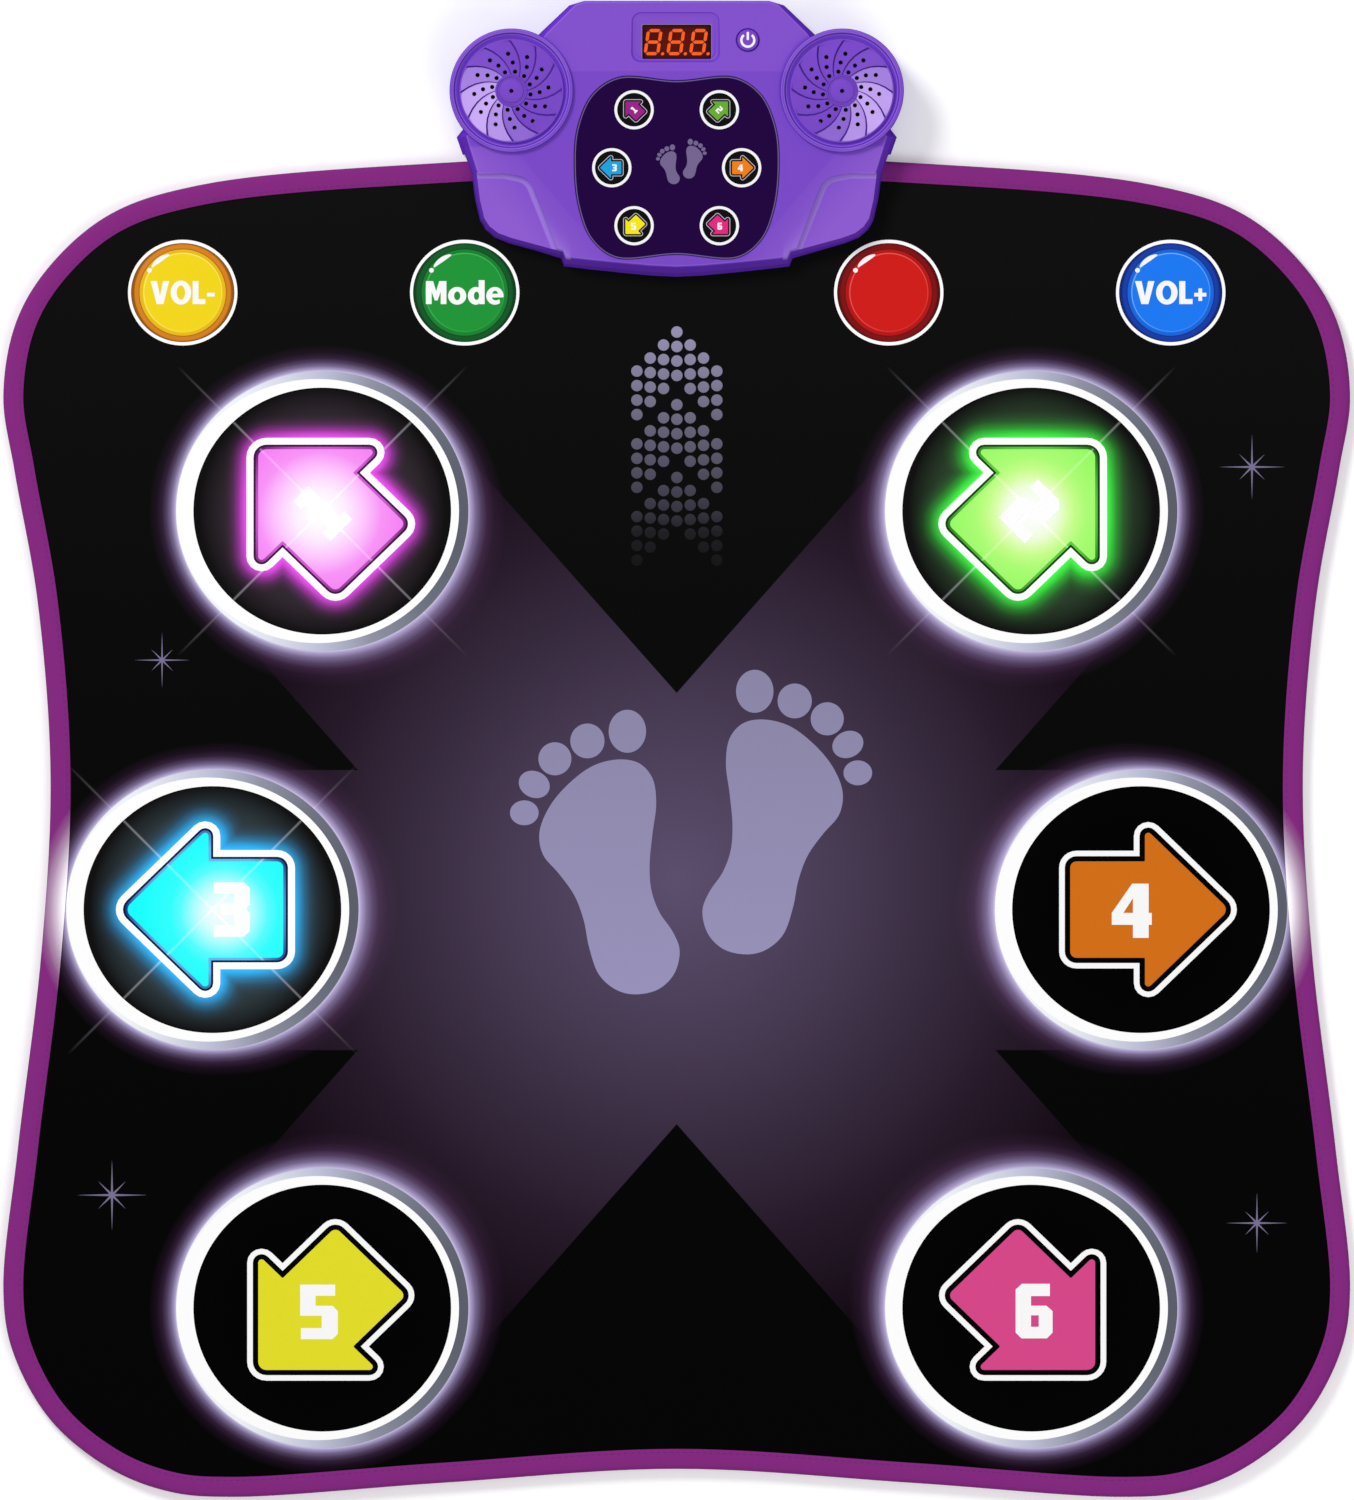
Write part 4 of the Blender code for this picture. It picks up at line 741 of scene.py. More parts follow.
# The light round a ring, by shares of its reach.
HALO = (
    (0.0, tone(208, 202, 236)), (0.05, tone(178, 166, 207)), (0.10, tone(158, 145, 187)),
    (0.20, tone(118, 103, 142)), (0.35, tone(80, 62, 93)), (0.5, tone(48, 29, 54)),
    (0.7, tone(24, 10, 26)), (1.0, (0.0, 0.0, 0.0)),
)
BINDING_HALO = (
    (0.0, 1.0), (0.08, 0.94), (0.18, 0.74), (0.32, 0.48), (0.5, 0.25), (0.75, 0.07), (1.0, 0.0),
)


def painted_flares(g, centre):
    """Two crossing painted flares of light through a lit pad's middle that fade outwards, from 0 to 1."""
    dx, dy, reach = g.away(centre.x, centre.y)
    first = (-abs(dx + dy) / STREAK_WIDTH + 1.0).clamped()
    second = (-abs(dx - dy) / STREAK_WIDTH + 1.0).clamped()
    fade = (-reach / STREAK_REACH + 1.0).clamped()
    return first.most(second) * fade


def printed_cloth(settings):
    """The cover's print: black with a purple-grey cross of light; over it, painted halos of light round
    the pads and painted flares through the lit ones.
    """
    g = Graph("printed_cloth", roughness=0.6, specular=0.008)
    along = ((g.y - MAT_FRONT) / MAT_LENGTH).clamped()
    base = g.mix(along * along, tuple(settings.black_front), tuple(settings.black_rear))

    across = abs(g.x)
    dark_rear = g.y - BEAM_REAR_POINT - across * BEAM_SLOPE
    dark_front = -g.y + BEAM_FRONT_POINT - across * BEAM_SLOPE
    slope_side = (across - BEAM_SIDE_X) * BEAM_SLOPE
    dark_side_rear = (g.y - BEAM_SIDE_REAR).least(slope_side - (g.y - BEAM_SIDE_REAR))
    dark_side_front = (-g.y + BEAM_SIDE_FRONT).least(slope_side + (g.y - BEAM_SIDE_FRONT))
    dark = dark_rear.most(dark_front).most(dark_side_rear).most(dark_side_front)
    lit = (-dark / BEAM_EDGE + 0.5).clamped()
    _, _, reach = g.away(0.0, BEAM_CENTRE_Y)
    beam = g.ramp(
        (reach / BEAM_REACH).clamped(),
        (0.0, tone(94, 80, 112)), (0.27, tone(79, 66, 93)), (0.48, tone(66, 53, 76)),
        (0.63, tone(55, 42, 62)), (0.83, tone(39, 26, 42)), (1.0, tone(27, 15, 28)),
    )
    past = ((reach - BEAM_REACH) / BEAM_FADE).clamped()
    colour = g.mix(lit * (-past + 1.0), base, beam)

    # Painted halos of light round pads 2, 4 and 6.
    for centre in STEP_PADS[1::2]:
        distance, out_x, out_y = pad_distance(g, across, centre)
        inward = Vector((-centre.x, BEAM_CENTRE_Y - centre.y)).normalized()
        facing = (out_x * inward.x + out_y * inward.y) / (flat_length(out_x, out_y) + 0.001)
        stretched = distance / (facing.most(0.0) * 0.5 + 1.0)
        glow = g.ramp((stretched / HALO_REACH).clamped(), *HALO)
        colour = g.mix(1.0, colour, glow, "ADD")
    # Painted flares of light through the lit pads 1, 2 and 3.
    for centre in STEP_PADS[:3]:
        flare = painted_flares(g, centre)
        colour = g.mix(flare * 0.4, colour, tone(225, 220, 232), "ADD")
    weave = g.waves(0.0010, g.x) * g.waves(0.0010, g.y) + g.noise(350.0, 3.0)
    return g.finish(g.grained(colour, 0.05, 900.0), weave, 0.00004, 0.25)


def haloed(g, colour):
    """A colour of the binding, with the light of the nearest pads painted over it, and a faint painted
    glow.
    """
    distance, _, _ = pad_distance(g, abs(g.x), STEP_PADS[3])
    above = ((g.z - MAT_TOP * 0.4) / (MAT_TOP * 0.4)).clamped()
    share = Term(g, g.ramp((distance / BINDING_HALO_REACH).clamped(), *BINDING_HALO)) * above
    g.plug(g.shader.inputs["Emission Color"], share)
    g.shader.inputs["Emission Strength"].default_value = 0.22
    return g.mix(share, colour, tone(252, 248, 255))


def sewn_tape(settings):
    """Purple polyester binding tape with a fine crossed rib, and the pads' painted light over it."""
    g = Graph("sewn_tape", roughness=0.7, specular=0.08)
    ribs = g.waves(0.0011, g.x + g.y) * g.waves(0.0011, g.x - g.y)
    colour = haloed(g, tuple(settings.binding))
    return g.finish(g.grained(colour, 0.06, 1200.0), ribs, 0.00012, 0.35)


def ring_loops(centre):
    """Outlines of a step pad's opening, of its ring's shaded band and of the white ring on it."""
    hole = ellipse(centre.x, centre.y, STEP_PAD_RADIUS + 0.0004, 160, PAD_ASPECT)
    band = ellipse(centre.x, centre.y, RING_OUTER, 160, PAD_ASPECT)
    white = ellipse(centre.x - RING_SHIFT, centre.y, RING_WHITE, 160, RING_WHITE_ASPECT)
    return hole, band, white


def band_ink(name, centre):
    """Shaded ink of a ring's outer band, which darkens to its right like polished metal."""
    g = Graph(name, roughness=0.5, specular=0.05)
    dx, _, reach = g.away(centre.x, centre.y)
    bearing = dx / (reach + 0.0001)
    colour = g.ramp(
        (bearing * 0.5 + 0.5).clamped(),
        (0.0, tone(250, 250, 253)), (0.2, tone(244, 247, 252)), (0.5, tone(192, 194, 218)),
        (0.68, tone(146, 148, 166)), (0.85, tone(114, 118, 132)), (1.0, tone(92, 94, 107)),
    )
    return g.printed(colour)


class DANCE_OT_printed_cover(bpy.types.Operator):
    """Printed top cloth with an opening for each pad"""

    bl_idname = "dance.printed_cover"
    bl_label = "Printed cover"
    bl_options = {"REGISTER", "UNDO"}

    def execute(self, context):
        outline = inset(mat_outline(), TAPE + GAP)
        slack = 0.0005
        holes = [ellipse(p.x, p.y, STEP_PAD_RADIUS + slack, 128, PAD_ASPECT) for p in STEP_PADS]
        holes += [ellipse(p.x, p.y, CONTROL_PAD_RADIUS + slack, 72, PAD_ASPECT) for p in CONTROL_PADS]
        material = printed_cloth(context.scene.dance_mat)
        loops = [outline, *holes]
        cover = flat_piece("printed_cover", loops, COVER_LOW, COVER_TOP, material, "print_black")
        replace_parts(cover, "top_cover")
        abs(signed_area(outline)) - sum(abs(signed_area(hole)) for hole in holes)
        return {"FINISHED"}


class DANCE_OT_edge_binding(bpy.types.Operator):
    """Folded tape sewn round the mat's edge, with its row of stitches"""

    bl_idname = "dance.edge_binding"
    bl_label = "Edge binding"
    bl_options = {"REGISTER", "UNDO"}

    def execute(self, context):
        settings = context.scene.dance_mat
        outline = mat_outline(12)
        fold = MAT_TOP
        outside = (
            (TAPE_WIDTH, fold - TAPE), (TAPE_WIDTH, fold - 0.00025), (TAPE_WIDTH - 0.0006, fold),
            (0.0060, fold), (0.0030, fold - 0.0001), (0.0012, fold - 0.0007), (0.0003, fold - 0.0020),
            (0.0, fold * 0.62), (0.0, fold * 0.38), (0.0003, 0.0020), (0.0012, 0.0007),
            (0.0030, 0.0001), (0.0060, 0.0), (TAPE_WIDTH, 0.0),
        )
        inside = (
            (TAPE_WIDTH, TAPE), (0.0034, TAPE + 0.0001), (0.0016, 0.0016), (TAPE, fold * 0.38),
            (TAPE, fold * 0.62), (0.0016, fold - 0.0016), (0.0034, fold - TAPE - 0.0001),
        )
        shape = stacked(outline, outside + inside, closed=True)
        tape = from_shape("binding_tape", shape, sewn_tape(settings), "binding_purple", sharp=50)
        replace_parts(tape, "edge_binding")
        thread = self.stitches(outline, settings)
        around = sum((Vector(a) - Vector(b)).length for a, b in sides(outline))
        return {"FINISHED"}

    def stitches(self, outline, settings):
        """Thread lying in short bumps along the tape's inner edge."""
        line = [Vector(p) for p in inset(outline, TAPE_WIDTH - 0.0022)]
        stitch = bmesh.new()
        bmesh.ops.create_uvsphere(stitch, u_segments=6, v_segments=4, radius=1.0)
        bump = mesh_of("stitch", stitch)
        shape = bmesh.new()
        ahead = 0.0
        half = settings.stitch_pitch * 0.34
        for here, there in sides(line):
            step = there - here
            along = step.normalized()
            while ahead < step.length:
                at = here + along * ahead
                turn = Matrix.Rotation(math.atan2(along.y, along.x), 4, "Z")
                size = Matrix.Diagonal((half, 0.00042, 0.00022, 1))
                place = Matrix.Translation((at.x, at.y, MAT_TOP)) @ turn @ size
                bump.transform(place)
                shape.from_mesh(bump)
                bump.transform(place.inverted())
                ahead += settings.stitch_pitch
            ahead -= step.length
        bpy.data.meshes.remove(bump)
        g = Graph("purple_thread", roughness=0.6, specular=0.1)
        twist = g.waves(0.0006, g.x + g.y)
        # The pads' painted light lies over the thread as over the tape.
        g.finish(g.grained(haloed(g, tone(122, 36, 119)), 0.1, 2500.0), twist, 0.00005, 0.5)
        return from_shape("binding_stitches", shape, g.material, "binding_purple")


class DANCE_OT_grip_backing(bpy.types.Operator):
    """Grip cloth underneath, with rows of small rubber dots"""

    bl_idname = "dance.grip_backing"
    bl_label = "Grip backing"
    bl_options = {"REGISTER", "UNDO"}

    def execute(self, context):
        scene = context.scene
        low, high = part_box("bottom_cover")
        outline = inset(mat_outline(), TAPE + GAP)
        inner = inset(mat_outline(), TAPE_WIDTH + GAP)
        rim_low = high.z - 0.0008
        steps = ((outline, high.z), (outline, rim_low), (inner, rim_low), (inner, low.z))
        bores = []
        for number in range(1, 5):
            screw = centre_of(f"mat_screw_{number}")
            hole = ellipse(screw.x, screw.y, SCREW_BORE, 20)
            bores.append(lofted([at_height(hole, z) for z in (low.z - 0.001, high.z + 0.001)]))
        shape = lofted([at_height(loop, z) for loop, z in steps])
        shape = carve(shape, ("DIFFERENCE", join_shapes(*bores)))
        backing = from_shape("grip_backing", shape, self.grip_cloth(scene.dance_mat), "backing_grey")
        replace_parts(backing, "bottom_cover")
        abs(signed_area(outline))
        return {"FINISHED"}

    def grip_cloth(self, settings):
        g = Graph("grip_cloth", roughness=0.9, specular=0.15)
        dots = g.waves(GRIP_PITCH, g.x) * g.waves(GRIP_PITCH, g.y)
        raised = ((dots - 0.55) * 6.0).clamped()
        colour = g.mix(raised, tuple(settings.backing), tone(26, 26, 28))
        return g.finish(g.grained(colour, 0.12, 800.0), raised + g.noise(900.0) * 0.2, 0.0003, 0.7)


FEET_X = 0.0098
FOOT_STEP = 0.0273
FEET_FRONT = -0.17
FEET_LENGTH = 0.23
# A right foot in millimetres from the middle line: its sole, and its toes as (x, y, wide, tall, lean).
SOLE = (
    (47.7, 20.6), (65.9, 16.7), (82.9, 4.6), (96.8, -11.9), (103.6, -29.6), (101.1, -44.5),
    (90.4, -57.3), (79.7, -72.3), (73.3, -89.3), (69.7, -107.5), (62.7, -126.7), (50.9, -136.9),
    (38.1, -139.9), (22.1, -136.3), (11.4, -125.6), (7.8, -109.6), (12.5, -97.2), (21.5, -84.0),
    (27.0, -69.1), (28.3, -52.0), (26.4, -30.6), (23.8, -9.3), (26.4, 7.8), (34.9, 17.6),
)
TOES = (
    (43.5, 39.8, 12.8, 14.7, 0), (70.8, 33.2, 11.7, 11.9, 0), (93.0, 21.0, 11.3, 11.3, 0),
    (107.1, 3.5, 10.9, 9.0, 25), (113.9, -15.9, 9.8, 8.5, 0),
)
DOTS_X = 0.0001
DOTS_TOP = 0.2852
DOTS_END = 0.128
DOT_COLUMN = 0.0091
DOT_ROW = 0.0099
DOT_SLOPE = 0.0089
DOT_RADIUS = 0.0039
CHEVRON_STEP = 0.0497
STARS = (
    (0.3929, 0.1930, 0.0225), (-0.3515, 0.0611, 0.0190), (-0.3857, -0.3043, 0.0240),
    (0.3963, -0.3234, 0.0210),
)


class DANCE_OT_cover_print(bpy.types.Operator):
    """Rings, footprints, dotted arrows and stars printed on the cover"""

    bl_idname = "dance.cover_print"
    bl_label = "Cover print"
    bl_options = {"REGISTER", "UNDO"}

    def execute(self, context):
        scene = context.scene
        mat = scene.dance_mat
        pads = scene.dance_pads
        # The white rings and key rims get a faint painted glow.
        white = ink("white_ink", tuple(pads.white), 0.05)
        for number, centre in enumerate(STEP_PADS, 1):
            hole, band, ring = ring_loops(centre)
            shade = band_ink(f"band_ink_{number}", centre)
            self.printed(f"ring_band_{number}", [band, hole], shade)
            self.printed(f"ring_white_{number}", [ring, hole], white, PRINT / 2, PRINT * 2)
        for key, centre in zip(KEYS, CONTROL_PADS):
            outer = ellipse(centre.x, centre.y, CONTROL_PAD_RADIUS + 0.0026, 96, 1.035)
            hole = ellipse(centre.x, centre.y, CONTROL_PAD_RADIUS + 0.0003, 96, PAD_ASPECT)
            self.printed(f"key_rim_{key}", [outer, hole], white)
        self.footprints(mat)
        self.dots(mat)
        self.stars()
        return {"FINISHED"}

    def printed(self, name, loops, material, low=0.0, high=PRINT):
        """A layer of ink on the cover, between two heights above it."""
        flat_piece(name, loops, COVER_TOP + low, COVER_TOP + high, material, "print_black")

    def footprints(self, mat):
        g = Graph("footprint_ink", roughness=0.6, specular=0.05)
        rise = ((g.y - FEET_FRONT) / FEET_LENGTH).clamped()
        material = g.printed(g.mix(rise, tuple(mat.feet_front), tuple(mat.feet_rear)))
        self.printed("footprints", feet_loops(), material)

    def dots(self, mat):
        """Three dotted arrowheads, one behind the other, that fade towards the dancer."""
        g = Graph("dot_ink", roughness=0.6, specular=0.05)
        colour = g.ramp(
            ((g.y - DOTS_END) / (DOTS_TOP - DOTS_END)).clamped(),
            (0.0, tone(14, 14, 14)), (0.13, tone(26, 25, 29)), (0.3, tone(66, 63, 76)),
            (0.6, tone(104, 100, 121)), (1.0, tuple(mat.dots)),
        )
        material = g.printed(colour)
        loops = []
        for chevron in range(3):
            for column in range(-3, 4):
                for row in range(4):
                    x = DOTS_X + column * DOT_COLUMN
                    drop = chevron * CHEVRON_STEP + abs(column) * DOT_SLOPE + row * DOT_ROW
                    loops.append(ellipse(x, DOTS_TOP - drop, DOT_RADIUS, 24))
        self.printed("dotted_arrows", loops, material)

    def stars(self):
        self.printed("stars", [star_loop(*star) for star in STARS], ink("star_ink", tone(122, 114, 148)))


def foot_loops():
    """A right foot's sole and toes, in metres from the middle line of the pair."""
    loops = [smooth_loop([(x * MM, y * MM) for x, y in SOLE], 6)]
    for x, y, wide, tall, lean in TOES:
        toe = ellipse(0, 0, tall * MM, 40, wide / tall)
        loops.append(moved(toe, x=x * MM, y=y * MM, turn=math.radians(lean)))
    return loops


def feet_loops():
    """Both printed feet, the left one a step behind."""
    loops = []
    for side, lower in ((1, 0.0), (-1, FOOT_STEP)):
        loops += [moved(loop, x=FEET_X, y=-lower, mirror=side) for loop in foot_loops()]
    return loops


def star_loop(x, y, reach):
    """An eight-pointed sparkle with four long and four short rays."""
    loop = []
    for k in range(16):
        turn = math.pi * k / 8
        if k % 2:
            radius = reach * 0.08
        else:
            radius = reach if k % 4 == 0 else reach * 0.55
        loop.append((x + radius * math.cos(turn), y + radius * math.sin(turn)))
    return loop


# ---- Step pads -----------------------------------------------------------------------------
# Corners (x, y, radius) of an arrow that points to -X, anticlockwise, from the pad's middle.
ARROW = (
    (-0.0597, 0.0, 0.0055), (-0.0041, -0.0556, 0.0022), (-0.0041, -0.0329, 0.0008),
    (0.0452, -0.0329, 0.0042), (0.0452, 0.0329, 0.0042), (-0.0041, 0.0329, 0.0008),
    (-0.0041, 0.0556, 0.0022),
)
ARROW_ASPECT = 1.035
ARROW_SHIFTS = (0.0, 0.0, 0.0015, 0.0015, 0.0, 0.0)
ARROW_TURNS = (-45, -45, 0, 0, 45, 45)
DIGIT_UNIT = 0.2627 * MM
# Each numeral's outline and its holes, in units that DIGIT_UNIT turns into metres.
DIGITS = {
    1: [[
        (4, 142), (4, 112), (20, 112), (20, 30), (0, 30), (0, 0), (80, 0), (80, 30), (60, 30), (60, 142),
    ]],
    2: [[
        (2, 142), (2, 112), (56, 112), (56, 86), (14, 86), (0, 72), (0, 0), (96, 0), (96, 30), (40, 30),
        (40, 58), (82, 58), (96, 74), (96, 127), (80, 142),
    ]],
    3: [[
        (2, 142), (2, 112), (55, 112), (55, 86), (20, 86), (20, 57), (55, 57), (55, 30), (2, 30), (2, 0),
        (80, 0), (96, 15), (96, 60), (86, 72), (96, 84), (96, 127), (80, 142),
    ]],
    4: [
        [
            (53, 141), (0, 65), (0, 34), (55, 34), (55, 0), (96, 0), (96, 34), (104, 34), (104, 65),
            (96, 65), (96, 141),
        ],
        [(55, 65), (30, 65), (55, 103)],
    ],
    5: [[
        (0, 142), (0, 61), (56, 61), (56, 29), (2, 29), (2, 0), (84, 0), (98, 14), (98, 73), (84, 87),
        (40, 87), (40, 113), (91, 113), (91, 142),
    ]],
    6: [
        [
            (16, 142), (0, 127), (0, 15), (15, 0), (81, 0), (96, 15), (96, 71), (80, 85), (40, 85),
            (40, 110), (89, 110), (89, 142),
        ],
        [(40, 60), (60, 60), (60, 30), (40, 30)],
    ],
}
DIGIT_PLACES = (
    (0.0, 0.0), (0.0, 0.0), (0.0130, 0.0), (-0.0063, -0.0008), (-0.0022, -0.0026), (0.0020, -0.0020),
)
DIGIT_TURNS = (45, -45, 0, 0, 0, 0)


def arrow_loop(number, offset=0.0):
    """The outline of a pad's arrow, round the pad's middle, moved outwards by offset."""
    loop = rounded(ARROW, offset)
    placed = moved(loop, x=ARROW_SHIFTS[number - 1], turn=math.radians(ARROW_TURNS[number - 1]))
    side = ARROW_ASPECT if number % 2 else -ARROW_ASPECT
    return [(side * x, y) for x, y in placed]


def number_loops(number, scale=1.0, size=1.0):
    """A pad's block numeral on its arrow: scale shrinks both, size the numeral alone."""
    loops = DIGITS[number]
    wide = max(x for x, _ in loops[0])
    tall = max(y for _, y in loops[0])
    centred = [[(x - wide / 2, y - tall / 2) for x, y in loop] for loop in loops]
    x, y = (place * scale for place in DIGIT_PLACES[number - 1])
    turn = math.radians(DIGIT_TURNS[number - 1])
    return [moved(loop, x, y, turn, scale * size * DIGIT_UNIT) for loop in centred]


# A lit pad's painted light: its bright spot, its arrow's colour by millimetres from that spot, and the
# light round its arrow.
LIT = {
    1: {
        "spot": (-0.0015, -0.0015), "halo": (222, 74, 226), "spread": 0.0090,
        "gap": ((204, 88, 204), (84, 26, 90)), "thin": (62, 18, 66), "disc": ((56, 44, 56), (46, 38, 45)),
        "glow_by_mm": (
            (0, 255, 255, 255), (8, 255, 252, 255), (18, 254, 236, 254), (30, 254, 198, 254),
            (42, 248, 148, 247), (56, 246, 130, 244),
        ),
    },
    2: {
        "spot": (0.0, -0.0010), "halo": (60, 232, 66), "spread": 0.0108,
        "gap": ((92, 200, 62), (24, 96, 20)), "thin": (16, 62, 16), "disc": ((42, 66, 42), (40, 58, 40)),
        "glow_by_mm": (
            (0, 255, 255, 255), (9, 252, 255, 249), (18, 241, 255, 222), (24, 221, 255, 174),
            (30, 197, 255, 138), (38, 172, 254, 117), (56, 150, 252, 100),
        ),
    },
    3: {
        "spot": (0.0080, -0.0020), "halo": (46, 172, 238), "spread": 0.0105,
        "gap": ((96, 182, 236), (8, 40, 122)), "thin": (10, 22, 62), "disc": ((52, 66, 74), (44, 54, 58)),
        "glow_by_mm": (
            (0, 248, 255, 255), (10, 232, 255, 255), (15, 212, 255, 255), (20, 178, 255, 255),
            (25, 136, 254, 255), (30, 88, 254, 255), (37, 50, 255, 255), (56, 26, 255, 255),
        ),
    },
}
PLAIN = {4: "orange", 5: "yellow", 6: "pink"}
PAD_SLOTS = ("pad_violet", "pad_green", "pad_cyan", "pad_orange", "pad_yellow", "pad_pink")


def outline_distance(points, loop):
    """Distance from each point to the closed outline, negative inside it."""
    a = np.array(loop)
    b = np.roll(a, -1, axis=0)
    p = np.asarray(points)[:, None, :]
    span = b - a
    t = np.clip(((p - a) * span).sum(-1) / (span * span).sum(-1), 0, 1)
    nearest = np.linalg.norm(p - (a + t[..., None] * span), axis=-1).min(1)
    crosses = (a[:, 1] > p[..., 1]) != (b[:, 1] > p[..., 1])
    at = a[:, 0] + (p[..., 1] - a[:, 1]) * span[:, 0] / np.where(span[:, 1] == 0, 1e-12, span[:, 1])
    inside = (crosses & (p[..., 0] < at)).sum(1) % 2 == 1
    return np.where(inside, -nearest, nearest)


def pad_shape(centre, radius, top, rings, around):
    """A pad: its flange under the cover, a soft edge, and a top of many rings for painted light."""
    flange = radius + PAD_FLANGE
    profile = [
        (flange, SPACER_TOP + GAP), (flange, FILM_TOP), (radius, FILM_TOP),
        (radius, top - 0.00020), (radius - 0.00006, top - 0.00006), (radius - 0.0003, top),
    ]
    profile += [(radius * (1 - (k + 1) / (rings + 1)) - 0.0003, top) for k in range(rings)]
    return lofted([
        at_height(ellipse(centre.x, centre.y, max(r, 0.0005), around, PAD_ASPECT), z) for r, z in profile
    ])


class DANCE_OT_step_pads(bpy.types.Operator):
    """Six round pads with numbered arrows, three of them lit"""

    bl_idname = "dance.step_pads"
    bl_label = "Step pads"
    bl_options = {"REGISTER", "UNDO"}

    def execute(self, context):
        settings = context.scene.dance_pads
        for number, centre in enumerate(STEP_PADS, 1):
            self.pad(number, centre, settings)
        return {"FINISHED"}

    def pad(self, number, centre, settings):
        body = f"step_pad_{number}"
        lit = number in LIT
        shape = pad_shape(centre, STEP_PAD_RADIUS, PAD_TOP, 54 if lit else 2, 144)
        slot = PAD_SLOTS[number - 1]
        disc = from_shape(f"pad_disc_{number}", shape, self.disc_ink(number, centre, lit), slot, body)
        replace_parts(disc, body)
        line_in = settings.arrow_gap * (0.88 if lit else 1.0)
        line_out = line_in + settings.arrow_line * (1.25 if lit else 1.0)
        outer = arrow_loop(number, line_out)
        inner = arrow_loop(number, line_in)
        if lit:
            flat = [(v.co.x - centre.x, v.co.y - centre.y) for v in disc.data.vertices]
            layer = disc.data.attributes.new("outline_distance", "FLOAT", "POINT")
            layer.data.foreach_set("value", outline_distance(flat, outer).astype(np.float32))
        place = Matrix.Translation((centre.x, centre.y, 0))
        # A lit pad's white line and numeral get a faint painted glow.
        white = ink(f"arrow_line_{number}", tuple(settings.white), 0.1 if lit else 0.0)
        low, high = PAD_TOP, PAD_TOP + PRINT
        flat_piece(f"arrow_line_{number}", [outer, inner], low, high, white, slot, body, place)
        fill = arrow_loop(number)
        if lit:
            material = self.lit_ink(number, centre)
        else:
            material = ink(f"arrow_ink_{number}", tuple(getattr(settings, PLAIN[number])))
        flat_piece(f"arrow_{number}", [fill], low, high, material, slot, body, place)
        if lit:
            thin = ink(f"arrow_thin_line_{number}", tone(*LIT[number]["thin"]))
            edge = arrow_loop(number, line_in * 0.98)
            within = arrow_loop(number, line_in * 0.55)
            flat_piece(f"arrow_thin_line_{number}", [edge, within], low, high, thin, slot, body, place)
        digit = number_loops(number)
        paint = ink(f"number_ink_{number}", tuple(settings.white), 0.05 if lit else 0.0)
        flat_piece(f"number_{number}", digit, high - PRINT / 2, high + PRINT, paint, slot, body, place)

    def disc_ink(self, number, centre, lit):
        """A pad's black, paler in the middle of a lit pad, with the arrow's light spilling over it:
        painted light, with painted flares and a faint glow.
        """
        g = Graph(f"pad_black_{number}", roughness=0.55, specular=0.004)
        _, _, reach = g.away(centre.x, centre.y)
        radius = (reach / STEP_PAD_RADIUS).clamped()
        if not lit:
            colour = g.mix(radius, tone(1, 1, 1), tone(4, 4, 4))
            return g.finish(g.grained(colour, 0.1, 900.0), g.noise(900.0), 0.00003, 0.3)
        light = LIT[number]
        near, wide = light["disc"]
        near, wide = tone(*near), tone(*wide)
        # Painted light: the black is paler in the middle of a lit pad.
        base = g.ramp(radius, (0.0, near), (0.55, near), (0.78, wide), (1.0, tone(17, 16, 17)))
        away = g.attribute("outline_distance")
        share = (away / (light["spread"] * 1.7)).clamped()
        fall = g.ramp(
            share, (0.0, 1.0), (0.15, 0.74), (0.35, 0.34), (0.6, 0.10), (0.8, 0.03), (1.0, 0.0)
        )
        strength = Term(g, fall) * ((0.084 - reach) / 0.034).clamped()
        colour = g.mix(strength, base, tuple(1.2 * c for c in tone(*light["halo"])))
        # Painted light in the gap round the arrow, brighter nearer the pad's middle.
        bright, dim = light["gap"]
        gap = g.mix(((0.060 - reach) / 0.018).clamped(), tone(*dim), tone(*bright))
        colour = g.mix((-away / 0.0004).clamped(), colour, gap)
        colour = g.mix(painted_flares(g, centre) * 0.5, colour, tone(225, 225, 232), "ADD")
        return g.finish(colour, g.noise(900.0), 0.00003, 0.3, 0.12)

    def lit_ink(self, number, centre):
        # Painted light: the arrow is palest at its bright spot and takes its colour outwards, with
        # painted flares and a faint glow.
        light = LIT[number]
        g = Graph(f"arrow_ink_{number}", roughness=0.5, specular=0.02)
        _, _, away = g.away(centre.x + light["spot"][0], centre.y + light["spot"][1])
        reach = light["glow_by_mm"][-1][0]
        radius = (away / (reach * MM)).clamped()
        colour = g.ramp(radius, *[(mm / reach, tone(*rgb)) for mm, *rgb in light["glow_by_mm"]])
        colour = g.mix(painted_flares(g, centre) * 0.24, colour, tone(255, 255, 255), "ADD")
        return g.printed(colour, 0.02, 0.03)


# ---- Control keys --------------------------------------------------------------------------
# Slot, word with its width, and the colours of face, ring and bright line.
KEY_LOOKS = {
    "volume_down": ("key_yellow", "VOL-", 0.0437, (245, 216, 27), (217, 130, 30), (252, 236, 110)),
    "mode": ("key_green", "Mode", 0.0530, (32, 150, 56), (12, 88, 36), (70, 185, 90)),
    "source": ("key_red", "", 0.0, (210, 28, 25), (128, 10, 14), (235, 90, 80)),
    "volume_up": ("key_blue", "VOL+", 0.0487, (27, 123, 246), (20, 60, 170), (110, 175, 255)),
}
KEY_RING = 0.0040
KEY_CAPITAL = 0.0157
LETTER_SPACE = 7
GLINT_RADIUS = 0.0274
GLINT_THICKNESS = 0.0016


